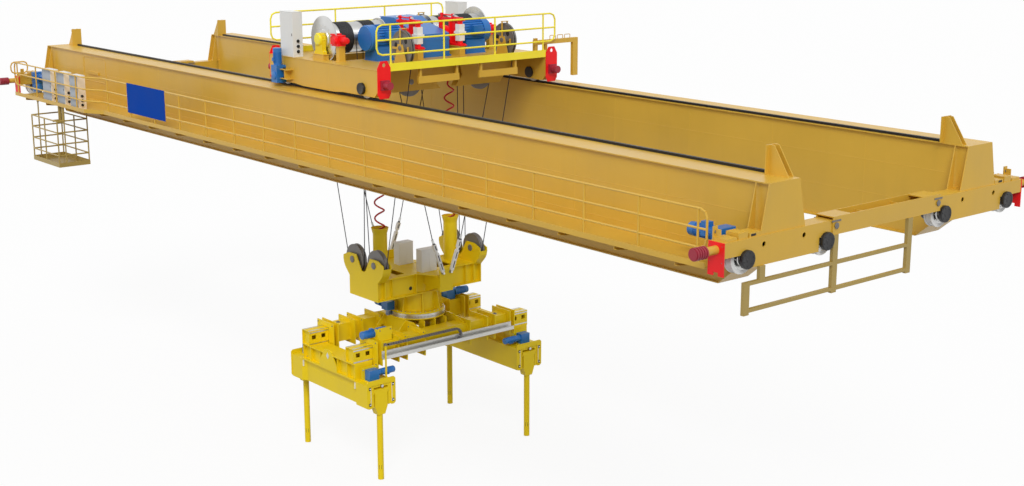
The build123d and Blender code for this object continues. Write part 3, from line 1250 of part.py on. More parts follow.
NODES = {
    "girder_webs": girder_webs,
    "girder_flanges": girder_flanges,
    "girder_end_plates": girder_end_plates,
    "trolley_rails": trolley_rails,
    "end_trucks": end_trucks,
    "bearing_caps": bearing_caps,
    "tie_beams": tie_beams,
    "rail_guards": rail_guards,
    "travel_buffers": travel_buffers,
    "travel_gearmotors": travel_gearmotors,
    "walkway_deck": walkway_deck,
    "walkway_railing": walkway_railing,
    "walkway_cabinets": walkway_cabinets,
    "maintenance_cage": maintenance_cage,
    "guard_frame": guard_frame,
    "festoon": festoon,
    "travel_wheels_near_outer": lambda: travel_wheel(-WHEEL_OUTER_Y),
    "travel_wheels_near_inner": lambda: travel_wheel(-WHEEL_INNER_Y),
    "travel_wheels_far_inner": lambda: travel_wheel(WHEEL_INNER_Y),
    "travel_wheels_far_outer": lambda: travel_wheel(WHEEL_OUTER_Y),
    "trolley_frame": trolley_frame,
    "trolley_railings": trolley_railings,
    "trolley_cabinets": trolley_cabinets,
    "trolley_caps": trolley_caps,
    "trolley_guards": trolley_guards,
    "trolley_buffers": trolley_buffers,
    "hoist_gearbox": hoist_gearbox,
    "hoist_motors": hoist_motors,
    "hoist_brakes": hoist_brakes,
    "drum_pedestals": drum_pedestals,
    "sheave_brackets": sheave_brackets,
    "tow_arm": tow_arm,
    "trolley_wheels_left": lambda: trolley_wheels(TROLLEY_X - TROLLEY_WHEEL_X),
    "trolley_wheels_right": lambda: trolley_wheels(TROLLEY_X + TROLLEY_WHEEL_X),
    "hoist_drums": hoist_drums,
    "upper_sheaves_left": lambda: upper_sheaves(-1),
    "upper_sheaves_right": lambda: upper_sheaves(1),
    "lower_sheaves_near": lambda: lower_sheaves(-1),
    "lower_sheaves_far": lambda: lower_sheaves(1),
    "block_frame": block_frame,
    "block_sheaves_left": lambda: block_sheaves(-1),
    "block_sheaves_right": lambda: block_sheaves(1),
    "cable_baskets": cable_baskets,
    "block_boxes": block_boxes,
    "rope_anchors": rope_anchors,
    "slew_turret": slew_turret,
    "slew_drive": slew_drive,
    "slew_ring": slew_ring,
    "spreader_frame": spreader_frame,
    "cable_tray": cable_tray,
    "drag_chain": drag_chain,
    "spreader_motors": spreader_motors,
    "near_arm": lambda: arm(-1),
    "far_arm": lambda: arm(1),
    "leg_near_left": lambda: leg(-1, -1),
    "leg_near_right": lambda: leg(1, -1),
    "leg_far_left": lambda: leg(-1, 1),
    "leg_far_right": lambda: leg(1, 1),
    "hoist_ropes": hoist_ropes,
    "spiral_cables": spiral_cables,
}

os.makedirs("parts", exist_ok=True)
for name, make in NODES.items():
    save(name, make())
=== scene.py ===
import json
import math

import bpy
from mathutils import Matrix, Vector


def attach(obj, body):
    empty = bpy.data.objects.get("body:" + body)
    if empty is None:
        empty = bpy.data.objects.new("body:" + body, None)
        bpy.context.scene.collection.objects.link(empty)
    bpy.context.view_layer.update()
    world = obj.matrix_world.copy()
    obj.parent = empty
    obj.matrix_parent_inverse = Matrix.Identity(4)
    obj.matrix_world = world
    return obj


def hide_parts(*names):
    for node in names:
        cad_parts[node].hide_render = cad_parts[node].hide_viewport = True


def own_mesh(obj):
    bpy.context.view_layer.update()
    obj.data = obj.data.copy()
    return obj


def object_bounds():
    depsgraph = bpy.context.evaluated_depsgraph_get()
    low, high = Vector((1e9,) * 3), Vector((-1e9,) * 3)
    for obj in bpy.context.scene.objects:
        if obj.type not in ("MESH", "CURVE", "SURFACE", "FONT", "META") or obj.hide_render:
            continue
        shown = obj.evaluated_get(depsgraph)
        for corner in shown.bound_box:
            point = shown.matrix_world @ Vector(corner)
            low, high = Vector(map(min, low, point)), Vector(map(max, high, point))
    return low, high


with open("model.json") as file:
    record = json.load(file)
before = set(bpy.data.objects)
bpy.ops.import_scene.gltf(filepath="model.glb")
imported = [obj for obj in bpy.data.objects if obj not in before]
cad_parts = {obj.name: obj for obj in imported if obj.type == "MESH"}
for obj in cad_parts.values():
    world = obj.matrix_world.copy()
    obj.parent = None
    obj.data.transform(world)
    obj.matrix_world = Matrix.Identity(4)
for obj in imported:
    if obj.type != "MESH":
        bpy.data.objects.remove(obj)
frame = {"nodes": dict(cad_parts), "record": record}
nodes = frame["nodes"]
CAD_BOX = [list(corner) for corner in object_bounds()]

# Sizes shared with the part's source, in metres
TRUCK_X = 14.25
TRUCK_FACE = 14.415
TRUCK_BACK = 14.085
TRUCK_TOP = 0.59
TRUCK_OUTER_Y = 4.27
TRUCK_HOLES_Y = (2.3, 3.32)
WHEEL_Y = (3.75, 1.712)
WHEEL_R = 0.25
GIRDER_TOP = 1.43
GIRDER_BOTTOM = -0.47
WEB_OUT = 3.142
WEB_IN = 2.488
RAIL_TOP = 1.48
TROLLEY_X = 0.2
TROLLEY_HALF = 2.3
SIDE_IN = 2.32
SIDE_OUT = 2.68
DECK_Z = 2.15
WALK_DECK_Z = 0.075
WALK_CASES = ((-11.74, 0.585), (-10.78, 0.506), (-9.895, 0.515))
HOIST_MOTOR_Z = 2.68
TROLLEY_AXLE_Z = 1.6903
DRUM = (-0.25, 2.63)
DRUM_R = 0.36
UPPER = (1.7, 1.52, 2.53, 0.41)
LOWER = (1.295, 1.07, 1.68, 0.35)
BLOCK_TOP = -3.25
BLOCK_BOTTOM = -3.79
BLOCK_PIN = (0.465, -2.88, 0.37)
BLOCK_FALL_Y = 1.4925
BASKET_TOP = -2.07
LEG_SHOULDER = -6.21
LEG_BOTTOM = -7.89
LEGS = (("leg_1", -1, -1), ("leg_2", 1, -1), ("leg_3", -1, 1), ("leg_4", 1, 1))
RING_Z = -4.37
ROPE_R = 0.012
SIDES = (-1, 1)
ENDS = ((-1, "near"), (1, "far"))
MIDDLE = (TROLLEY_X, 0, 0)
ORIGIN = (0, 0, 0)
X, Y, Z = Vector((1, 0, 0)), Vector((0, 1, 0)), Vector((0, 0, 1))


# Geometry

class Shape:
    """Mesh geometry for one piece, gathered from simple parts whose places are given from an origin."""

    def __init__(self, origin=ORIGIN):
        self.origin = origin
        self.points = []
        self.faces = []

    def put(self, points, faces):
        first = len(self.points)
        self.points += [tuple(a + b for a, b in zip(p, self.origin)) for p in points]
        self.faces += [tuple(i + first for i in face) for face in faces]

    def mark(self):
        return len(self.points), len(self.faces)

    def mirror(self, axis, since=(0, 0)):
        """Copies what was added since a mark, across the plane through the origin."""
        points, faces = since
        shift = len(self.points) - points
        for p in self.points[points:]:
            q = list(p)
            q[axis] = -q[axis]
            self.points.append(tuple(q))
        for face in self.faces[faces:]:
            self.faces.append(tuple(i + shift for i in face[::-1]))

    def turn_over(self, centre):
        """Copies all of the shape, turned half round an upright line."""
        shift = len(self.points)
        turn = Matrix.Rotation(math.pi, 3, Z)
        centre = Vector(centre)
        self.points += [tuple(turn @ (Vector(p) - centre) + centre) for p in self.points]
        self.faces += [tuple(i + shift for i in face) for face in self.faces]

    def box(self, x, y, z):
        x, y, z = sorted(x), sorted(y), sorted(z)
        corners = [(x[i], y[j], z[k]) for k in (0, 1) for j in (0, 1) for i in (0, 1)]
        sides = [(0, 2, 3, 1), (4, 5, 7, 6), (0, 1, 5, 4), (2, 6, 7, 3), (0, 4, 6, 2), (1, 3, 7, 5)]
        self.put(corners, sides)

    def loft(self, rings, loop=False):
        """Joins rings of points, each with the same count, and closes both ends unless it is a loop."""
        count = len(rings[0])
        faces = []
        pairs = list(zip(range(len(rings)), range(1, len(rings))))
        if loop:
            pairs.append((len(rings) - 1, 0))
        for a, b in pairs:
            for i in range(count):
                j = (i + 1) % count
                faces.append((a * count + i, a * count + j, b * count + j, b * count + i))
        if not loop:
            faces.append(tuple(range(count))[::-1])
            faces.append(tuple((len(rings) - 1) * count + i for i in range(count)))
        self.put([p for ring in rings for p in ring], faces)

    def lathe(self, origin, axis, profile, sides=32, loop=False):
        """Turns a profile of (along, radius) about an axis."""
        w = Vector(axis).normalized()
        u = w.orthogonal().normalized()
        v = w.cross(u)
        origin = Vector(origin)
        rings = []
        for along, radius in profile:
            middle, reach = origin + w * along, max(radius, 0.0005)
            rings.append([middle + out * reach for out in directions(sides, 0, u, v)])
        self.loft(rings, loop)

    def rod(self, start, end, radius, sides=16, end_radius=None):
        start, end = Vector(start), Vector(end)
        last = radius if end_radius is None else end_radius
        self.lathe(start, end - start, [(0, radius), ((end - start).length, last)], sides)

    def button(self, place, axis, radius, top_radius, along, sides):
        """A round head with a bevel. Its foot, shoulder and top are given along the axis."""
        foot, shoulder, top = along
        self.lathe(place, axis, [(foot, radius), (shoulder, radius), (top, top_radius), (top, 0)], sides)

    def prism(self, ring, start, end):
        """The same ring at two places, joined."""
        self.loft([[start + p for p in ring], [end + p for p in ring]])

    def slab(self, outline, offset):
        """A flat outline pushed along an offset."""
        offset = Vector(offset)
        first = [Vector(p) for p in outline]
        normal = Vector((0, 0, 0))
        for a, b in zip(first, first[1:] + first[:1]):
            normal += a.cross(b)
        if normal.dot(offset) < 0:
            first = first[::-1]
        self.loft([first, [p + offset for p in first]])

    def tube(self, path, radius, sides=8):
        """A tube along points."""
        path = [Vector(p) for p in path]
        rings = []
        before = None
        for i, p in enumerate(path):
            a = path[max(i - 1, 0)]
            b = path[min(i + 1, len(path) - 1)]
            along = (b - a).normalized()
            if before is None:
                side = along.orthogonal().normalized()
            else:
                side = (before - along * before.dot(along)).normalized()
            before = side
            up = along.cross(side)
            rings.append([p + out * radius for out in directions(sides, 0, side, up)])
        self.loft(rings)

    def bolt(self, place, axis, size):
        """A washer and a hexagon head."""
        self.lathe(place, axis, [(0, size * 1.05), (size * 0.18, size * 1.05)], 12)
        self.lathe(Vector(place) + Vector(axis).normalized() * size * 0.18, axis,
                   [(0, size * 0.85), (size * 0.55, size * 0.85), (size * 0.68, size * 0.68)], 6)

    def bolts_round(self, centre, axis, radius, size, count):
        u = axis.orthogonal().normalized()
        for out in directions(count, 0, u, axis.cross(u)):
            self.bolt(Vector(centre) + out * radius, axis, size)

    def fins(self, start, end, radius, height, thickness=0.012, count=28):
        """Cooling fins that run along a motor's body."""
        start, end = Vector(start), Vector(end)
        w = (end - start).normalized()
        u = w.orthogonal().normalized()
        for out in directions(count, 0.5, u, w.cross(u)):
            side = w.cross(out) * thickness / 2
            near, far = out * (radius - 0.01), out * (radius + height)
            ring = [near - side, near + side, far + side * 0.6, far - side * 0.6]
            self.prism(ring, start, end)

    def bead(self, start, end, normal, width=0.018, height=0.0025):
        """A weld seam that stands a little proud of a plate."""
        start, end, normal = Vector(start), Vector(end), Vector(normal)
        side = (end - start).normalized().cross(normal) * width / 2
        low, high = normal * -0.003, normal * height
        ring = [low - side, low + side, high + side * 0.4, high - side * 0.4]
        self.prism(ring, start, end)


def linked(name, data):
    made = bpy.data.objects.new(name, data)
    bpy.context.scene.collection.objects.link(made)
    return made


def piece(name, shape, finish, body, smooth=38):
    """Makes the shape an object that rides on a body, with its finish as its material."""
    mesh = bpy.data.meshes.new(name)
    mesh.from_pydata(shape.points, [], shape.faces)
    mesh.validate()
    mesh.update()
    for polygon in mesh.polygons:
        polygon.use_smooth = True
    mesh.set_sharp_from_angle(angle=math.radians(smooth))
    mesh.materials.append(FINISH[finish])
    made = linked(name, mesh)
    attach(made, body)
    return made


def shapes(count, origin=ORIGIN):
    return [Shape(origin) for _ in range(count)]


def mirrored(axis, *which):
    """Copies all of each shape across the plane through the origin."""
    for shape in which:
        shape.mirror(axis)


def about(middle, half):
    return (middle - half, middle + half)


def directions(count, turn=0.0, u=X, v=Y):
    """Unit vectors evenly round a circle, from u towards v, or round the upright axis."""
    for i in range(count):
        a = 2 * math.pi * (i + turn) / count
        yield u * math.cos(a) + v * math.sin(a)


# Materials

def linear(r, g, b):
    """A colour written as 0 to 255 on screen, as the shader takes it."""
    out = []
    for value in (r, g, b):
        c = value / 255
        out.append(c / 12.92 if c <= 0.04045 else ((c + 0.055) / 1.055) ** 2.4)
    return (*out, 1.0)


def node(tree, kind, **values):
    made = tree.nodes.new(kind)
    for key, value in values.items():
        setattr(made, key, value)
    return made


def noise(tree, source, scale, detail=3.0, stretch=(1, 1, 1)):
    """A noise texture, drawn out along the axes by stretch."""
    mapping = node(tree, "ShaderNodeMapping")
    mapping.inputs["Scale"].default_value = stretch
    tree.links.new(source, mapping.inputs["Vector"])
    made = node(tree, "ShaderNodeTexNoise")
    made.inputs["Scale"].default_value = scale
    made.inputs["Detail"].default_value = detail
    tree.links.new(mapping.outputs[0], made.inputs["Vector"])
    return made.outputs["Fac"]


def ranged(tree, source, low, high, to_low, to_high):
    made = node(tree, "ShaderNodeMapRange", clamp=True)
    for key, value in zip(("From Min", "From Max", "To Min", "To Max"), (low, high, to_low, to_high)):
        made.inputs[key].default_value = value
    tree.links.new(source, made.inputs["Value"])
    return made.outputs[0]


def mixed(tree, factor, a, b):
    """A colour between two, where each is a colour or another node's output."""
    made = node(tree, "ShaderNodeMix", data_type="RGBA")
    tree.links.new(factor, made.inputs[0])
    for socket, value in ((made.inputs[6], a), (made.inputs[7], b)):
        if isinstance(value, tuple):
            socket.default_value = value
        else:
            tree.links.new(value, socket)
    return made.outputs[2]


def shade(colour, share):
    return (*[min(1.0, c * share) for c in colour[:3]], 1.0)


FINISH = {}


def material(name, screen, roughness=0.4, metallic=0.0, spread=0.07, dirt=0.12, grain=220.0, bump=0.0003,
             edge=0.0, coat=0.0, stretch=(1, 1, 1), specular=0.5):
    """A painted or bare surface with tone changes, streaks of dirt, grain, and a painted highlight that
    lightens its edges.
    """
    colour = linear(*screen)
    made = bpy.data.materials.new(name)
    made.use_nodes = True
    tree = made.node_tree
    shader = tree.nodes["Principled BSDF"]
    place = node(tree, "ShaderNodeTexCoord").outputs["Object"]
    broad = noise(tree, place, 0.7, 4.0)
    streaks = noise(tree, place, 3.0, 3.0, (1, 1, 0.15))
    fine = noise(tree, place, grain, 2.0, stretch)
    broad_share = ranged(tree, broad, 0.3, 0.7, 0, 1)
    tone = mixed(tree, broad_share, shade(colour, 1 - spread), shade(colour, 1 + spread))
    dust_and_highlight = mixed(tree, ranged(tree, streaks, 0.5, 0.85, 0, dirt), tone, shade(colour, 0.55))
    # Painted highlight: edges that the bevel finds are made lighter, as if they caught the light; edge sets
    # how strong it is.
    if edge:
        bevel = node(tree, "ShaderNodeBevel", samples=4)
        bevel.inputs["Radius"].default_value = 0.012
        geometry = node(tree, "ShaderNodeNewGeometry")
        dot = node(tree, "ShaderNodeVectorMath", operation="DOT_PRODUCT")
        tree.links.new(bevel.outputs[0], dot.inputs[0])
        tree.links.new(geometry.outputs["Normal"], dot.inputs[1])
        edge_highlight = ranged(tree, dot.outputs["Value"], 0.80, 0.995, edge, 0)
        dust_and_highlight = mixed(tree, edge_highlight, dust_and_highlight, shade(colour, 1.45))
    tree.links.new(dust_and_highlight, shader.inputs["Base Color"])
    rough = ranged(tree, broad, 0.3, 0.7, roughness * 0.85, min(1, roughness * 1.2))
    tree.links.new(rough, shader.inputs["Roughness"])
    relief = node(tree, "ShaderNodeBump")
    relief.inputs["Strength"].default_value = 0.6
    relief.inputs["Distance"].default_value = bump
    tree.links.new(fine, relief.inputs["Height"])
    tree.links.new(relief.outputs[0], shader.inputs["Normal"])
    shader.inputs["Metallic"].default_value = metallic
    shader.inputs["Specular IOR Level"].default_value = specular
    shader.inputs["Coat Weight"].default_value = coat
    shader.inputs["Coat Roughness"].default_value = 0.2
    made.diffuse_color = colour
    FINISH[name] = made


material("ochre", (214, 171, 58), 0.42, edge=0.2, dirt=0.1, spread=0.05, coat=0.15)
material("yellow", (240, 209, 14), 0.42, edge=0.2, dirt=0.1, spread=0.05, coat=0.05, specular=0.35)
material("lemon", (255, 234, 44), 0.38, edge=0.2, dirt=0.06, coat=0.1)
material("blue", (28, 110, 186), 0.36, edge=0.3, dirt=0.14, coat=0.2)
material("sign", (8, 70, 170), 0.65, dirt=0.04, specular=0.05)
material("red", (246, 22, 28), 0.4, edge=0.2, dirt=0.08, coat=0.05, specular=0.35)
material("maroon", (160, 40, 58), 0.45, spread=0.1, grain=90, bump=0.0006)
material("white", (236, 236, 234), 0.35, spread=0.03, dirt=0.1)
material("black", (25, 25, 27), 0.42, spread=0.12, dirt=0.05, edge=0.5)
material("rail", (38, 36, 35), 0.45, 0.6, spread=0.2, stretch=(0.05, 1, 1))
material("steel", (198, 198, 196), 0.28, 1.0, spread=0.08, dirt=0.15, stretch=(1, 1, 0.1))
material("grey", (122, 119, 116), 0.5, 0.35, spread=0.1, dirt=0.25, grain=60, bump=0.0008, edge=0.5)
material("cabinet", (230, 231, 229), 0.45, spread=0.03, dirt=0.08, grain=400, edge=0.2)
# Painted shade: the cabinets' white turned grey-blue, as their fronts look in shade.
material("front", (172, 180, 190), 0.5, spread=0.03, dirt=0.08, grain=400)
# Painted light: the cabinets' white warmed, as their sides look in the light.
material("cabinet_side_painted_light", (244, 230, 206), 0.5, spread=0.03, dirt=0.08, grain=400)
material("rope", (58, 58, 60), 0.5, 0.7, spread=0.2, grain=500)
material("cable", (214, 34, 42), 0.45, spread=0.08, dirt=0.05)
material("chain", (112, 110, 112), 0.55, spread=0.12, dirt=0.15, edge=0.3)
material("alu", (214, 214, 210), 0.36, 0.55, spread=0.05, dirt=0.1, stretch=(1, 0.05, 1))
# Painted shade: the ochre darkened and dulled, for parts that stand in shade below the girders.
material("ochre_painted_shade", (172, 147, 78), 0.45, edge=0.2, dirt=0.1, spread=0.05, coat=0.1)
material("dark", (26, 25, 24), 0.7, spread=0.1, dirt=0.0)

SLOT_OF = {row["node"]: row["material_slot"] for row in frame["record"]["subparts"]}
# The guard frame and the maintenance cage take the ochre with painted shade.
FINISH_OF_NODE = {"trolley_railings": "lemon", "guard_frame": "ochre_painted_shade", "maintenance_cage": "ochre_painted_shade"}
for name, thing in nodes.items():
    thing.data.materials.clear()
    thing.data.materials.append(FINISH[FINISH_OF_NODE.get(name, SLOT_OF[name])])


# Camera, light and floor

CAMERA_PLACE = (30.08, -21.79, 6.11)
CAMERA_AZIMUTH = math.radians(140.121407)
CAMERA_FALL = math.radians(13.3291103)
CAMERA_LENS = 52.59
SKY_LIGHT = 0.62
FLOOR_HALF = 600
FLOOR_SHADOW = 0.12


def aim(made, toward):
    made.rotation_mode = "QUATERNION"
    made.rotation_quaternion = Vector(toward).to_track_quat("-Z", "Y")


def add_camera():
    data = bpy.data.cameras.new("camera")
    data.lens = CAMERA_LENS
    data.sensor_width = 36.0
    data.clip_end = 2000
    made = linked("camera", data)
    made.location = CAMERA_PLACE
    level = math.cos(CAMERA_FALL)
    aim(made, (math.cos(CAMERA_AZIMUTH) * level, math.sin(CAMERA_AZIMUTH) * level, -math.sin(CAMERA_FALL)))
    bpy.context.scene.camera = made


def even(tree, kind, level):
    """A shader of one even grey."""
    made = node(tree, kind)
    made.inputs["Color"].default_value = (level, level, level, 1)
    return made.outputs[0]


def blend(tree, share, first, second):
    """A mix of two shaders. The share is a number or another node's output."""
    made = node(tree, "ShaderNodeMixShader")
    if isinstance(share, float):
        made.inputs[0].default_value = share
    else:
        tree.links.new(share, made.inputs[0])
    tree.links.new(first, made.inputs[1])
    tree.links.new(second, made.inputs[2])
    return made.outputs[0]


def seen_directly(tree):
    """1 where a ray comes from the camera, a mirror-like surface or glass."""
    path = node(tree, "ShaderNodeLightPath")
    total = path.outputs["Is Camera Ray"]
    for key in ("Is Glossy Ray", "Is Transmission Ray"):
        add = node(tree, "ShaderNodeMath", operation="MAXIMUM")
        tree.links.new(total, add.inputs[0])
        tree.links.new(path.outputs[key], add.inputs[1])
        total = add.outputs[0]
    return total


def add_world():
    world = bpy.data.worlds.new("world")
    world.use_nodes = True
    bpy.context.scene.world = world
    tree = world.node_tree
    tree.nodes.clear()
    lit = even(tree, "ShaderNodeBackground", 1)
    lit.node.inputs["Strength"].default_value = SKY_LIGHT
    shown = even(tree, "ShaderNodeBackground", 1)
    out = node(tree, "ShaderNodeOutputWorld")
    tree.links.new(blend(tree, seen_directly(tree), lit, shown), out.inputs[0])


def add_lamp(name, strength, spread, toward):
    data = bpy.data.lights.new(name, "SUN")
    data.energy = strength
    data.angle = math.radians(spread)
    aim(linked(name, data), toward)


def add_floor():
    """A white floor that shows a soft shadow and throws little light back up."""
    data = bpy.data.meshes.new("floor")
    corners = [(x * FLOOR_HALF, y * FLOOR_HALF, 0) for x, y in ((-1, -1), (1, -1), (1, 1), (-1, 1))]
    data.from_pydata(corners, [], [(0, 1, 2, 3)])
    made = linked("floor", data)
    made.location.z = CAD_BOX[0][2] - 0.02
    finish = bpy.data.materials.new("floor")
    finish.use_nodes = True
    tree = finish.node_tree
    tree.nodes.clear()
    glow = even(tree, "ShaderNodeEmission", 1)
    matt = even(tree, "ShaderNodeBsdfDiffuse", 0.9)
    dim = even(tree, "ShaderNodeBsdfDiffuse", 0.3)
    shown = blend(tree, FLOOR_SHADOW, glow, matt)
    out = node(tree, "ShaderNodeOutputMaterial")
    tree.links.new(blend(tree, seen_directly(tree), dim, shown), out.inputs[0])
    made.data.materials.append(finish)


add_camera()
add_world()
add_lamp("key", 1.65, 25, (-0.66, 0.55, -0.72))
add_lamp("fill", 0.35, 60, (0.8, 0.5, -0.4))
add_floor()
bpy.context.scene.view_settings.view_transform = "Standard"


# Ropes between the trolley and the lifting block

WRAP = 0.75 * math.pi


def tight(low, low_side, high, high_side):
    """Ends of a tight rope in an upright plane, between two wheels."""
    span = Vector((high[0] - low[0], high[1] - low[1]))
    along = span.normalized()
    share = (low_side - high_side) / span.length
    beside = along * share + Vector((along.y, -along.x)) * math.sqrt(1 - share ** 2)
    return Vector(low) + beside * low_side, Vector(high) + beside * high_side


def strands(shape, path, radius=ROPE_R, count=6, pitch=0.22):
    """A rope with its strands wound round it, along points."""
    rings = []
    side = None
    run = 0.0
    for i, p in enumerate(path):
        along = (path[min(i + 1, len(path) - 1)] - path[max(i - 1, 0)]).normalized()
        if side is None:
            side = along.orthogonal()
        side = (side - along * side.dot(along)).normalized()
        up = along.cross(side)
        if i:
            run += (p - path[i - 1]).length
        twist = 2 * math.pi * run / pitch
        ring = []
        for k in range(count * 2):
            a = twist + math.pi * k / count
            r = radius * (1.0 if k % 2 == 0 else 0.72)
            ring.append(p + (side * math.cos(a) + up * math.sin(a)) * r)
        rings.append(ring)
    shape.loft(rings)


def divided(start, end, step):
    count = max(2, int((end - start).length / step))
    return [start.lerp(end, i / count) for i in range(count + 1)]


def rope_offset(radius, width, depth=0.04):
    half = width / 2
    return radius - depth + ROPE_R * math.hypot(half, depth) / half + 0.0003


def arc(centre, u, v, radius, start, end, steps=24):
    """Points on an arc, by its angles from u towards v."""
    out = []
    for i in range(steps + 1):
        a = start + (end - start) * i / steps
        out.append(centre + (u * math.cos(a) + v * math.sin(a)) * radius)
    return out


def angle_of(point, centre):
    return math.atan2(point[1] - centre[1], point[0] - centre[0])


def at_depth(point, y):
    """A point of an upright plane that looks along Y, as a place in space."""
    return Vector((point[0], y, point[1]))


def add_ropes():
    low_off = rope_offset(BLOCK_PIN[2], 0.11)
    top_off = rope_offset(UPPER[3], 0.08)
    side_off = rope_offset(LOWER[3], 0.08)
    on_block, on_trolley = shapes(2)
    falls = []
    for s in SIDES:
        pin = (TROLLEY_X + s * BLOCK_PIN[0], BLOCK_PIN[1])
        top = (TROLLEY_X + s * UPPER[0], UPPER[2])
        outer = tight(pin, s * low_off, top, s * top_off)
        inner = tight(pin, -s * low_off, DRUM, DRUM_R + ROPE_R + 0.0003)
        for f in SIDES:
            y = f * BLOCK_FALL_Y
            falls.append((at_depth(outer[0], y), at_depth(outer[1], f * UPPER[1])))
            falls.append((at_depth(inner[0], y), at_depth(inner[1], f * (UPPER[1] + s * 0.1))))
            a, b = angle_of(outer[0], pin), angle_of(inner[0], pin)
            if s > 0:
                b -= 2 * math.pi if b > a else 0
            else:
                a -= 2 * math.pi if a > b else 0
            strands(on_block, arc(at_depth(pin, y), X, Z, low_off, a, b))
            a = angle_of(outer[1], top)
            strands(on_trolley, arc(at_depth(top, f * UPPER[1]), X, Z, top_off, a, a + s * WRAP))
        for lean in SIDES:
            head = (lean * 0.45, BLOCK_TOP + 1.0 + 0.0019)
            centre = (lean * LOWER[1], LOWER[2])
            low, high = tight(head, 0, centre, lean * side_off)
            x = TROLLEY_X + s * LOWER[0]
            falls.append((Vector((x, *low)), Vector((x, *high))))
            a = angle_of(high, centre)
            strands(on_trolley, arc(Vector((x, *centre)), Y, Z, side_off, a, a + lean * WRAP))
    for i, (low, high) in enumerate(falls):
        shape = Shape()
        strands(shape, divided(low, high, 0.03))
        made = piece(f"rope_fall_{i + 1}", shape, "rope", "trolley", smooth=80)
        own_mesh(made)
        if i == 0:
            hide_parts("hoist_ropes")
    piece("rope_turns_on_block", on_block, "rope", "lifting_block", smooth=80)
    piece("rope_turns_on_trolley", on_trolley, "rope", "trolley", smooth=80)


# Spiral cables

SPIRAL_TURN = math.radians(167)


def add_spirals():
    """Curly cables from the trolley's hangers into the baskets."""
    turn, pitch, bar = 0.12, 0.40, 0.044
    top = 1.64
    low = BLOCK_TOP + 0.08
    for f, label in ENDS:
        start = Vector((TROLLEY_X, f * 1.1, top))
        points = [start, start - Z * 0.08]
        steps = int((top - 0.2 - low) / pitch * 12)
        for i in range(steps + 1):
            a = 2 * math.pi * i / 12 + SPIRAL_TURN
            grow = min(1.0, i / 8)
            points.append(Vector((TROLLEY_X + turn * grow * math.cos(a), f * 1.1 + turn * grow * math.sin(a),
                                  top - 0.2 - pitch * i / 12)))
        points.append(Vector((points[-1].x, points[-1].y, BLOCK_TOP + 0.02)))
        curve = bpy.data.curves.new("route_" + label, "CURVE")
        curve.dimensions = "3D"
        spline = curve.splines.new("NURBS")
        spline.points.add(len(points) - 1)
        for slot, p in zip(spline.points, points):
            slot.co = (*p, 1)
        spline.order_u = 3
        spline.use_endpoint_u = True
        spline.resolution_u = 4
        route = bpy.data.objects.new("route_" + label, curve)
        line = bpy.data.meshes.new_from_object(route)
        path = [v.co.copy() for v in line.vertices]
        bpy.data.objects.remove(route)
        shape = Shape()
        shape.tube(path, bar / 2, 8)
        made = piece("spiral_cable_" + label, shape, "cable", "trolley", smooth=80)
        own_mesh(made)
        if f < 0:
            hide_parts("spiral_cables")


add_ropes()
add_spirals()


# Bridge details

SEAM_STEP = 2.4
SEAM_REACH = 13.9
DOOR_X = (-11.95, -10.5)
DOOR_Z = (0.62, 1.30)
DOOR_CORNER = 0.1
CAP_DEPTH = 0.06
TOP_PLATES = ((3.38, 3.66, 0.075, (3.43,)), (3.70, 3.92, 0.11, (3.76, 3.86)), (3.96, 4.22, 0.05, (4.06,)))
WALK_CASE_Y = (-4.41, -4.175)
WALK_CASE_HEIGHT = 0.945
SIGN_X = (-6.98, -4.85)
SIGN_Y = -4.191
SIGN_Z = (0.29, 1.08)
RAIL_GAP = 0.046


def bridge_seams():
    """Weld seams on both sides of the girders' webs."""
    shape = Shape()
    for y, out in ((WEB_OUT, Y), (WEB_IN, -Y)):
        since = shape.mark()
        for i in range(-5, 6):
            x = i * SEAM_STEP
            shape.bead((x, y, GIRDER_BOTTOM + 0.03), (x, y, GIRDER_TOP - 0.03), out)
        for z in (0.86, 0.2):
            shape.bead((-SEAM_REACH, y, z), (SEAM_REACH, y, z), out)
        shape.mirror(1, since)
    piece("girder_seams", shape, "ochre", "bridge")


def web_fittings():
    """A door outline and its handle on the near girder, and small round holes beside the sign."""
    shape, holes = shapes(2)
    face = -WEB_OUT
    left, right = DOOR_X[0] + DOOR_CORNER, DOOR_X[1] - DOOR_CORNER
    low, high = DOOR_Z[0] + DOOR_CORNER, DOOR_Z[1] - DOOR_CORNER
    path = []
    for x, z, start in ((left, low, 180), (right, low, 270), (right, high, 0), (left, high, 90)):
        path += arc(Vector((x, face, z)), X, Z, DOOR_CORNER, math.radians(start), math.radians(start + 90), 6)
    shape.tube(path + [path[0]], 0.012)
    shape.box((-11.62, -10.95), (face - 0.035, face), (0.82, 0.90))
    for x in (-6.2, -5.6, -4.5):
        for z in (0.40, 0.62, 0.84):
            holes.lathe((x, face - 0.001, z), -Y, [(0, 0.028), (0.006, 0.028), (0.007, 0.02), (0.004, 0)], 20)
    piece("web_door", shape, "ochre", "bridge")
    piece("web_bosses", holes, "ochre", "bridge")


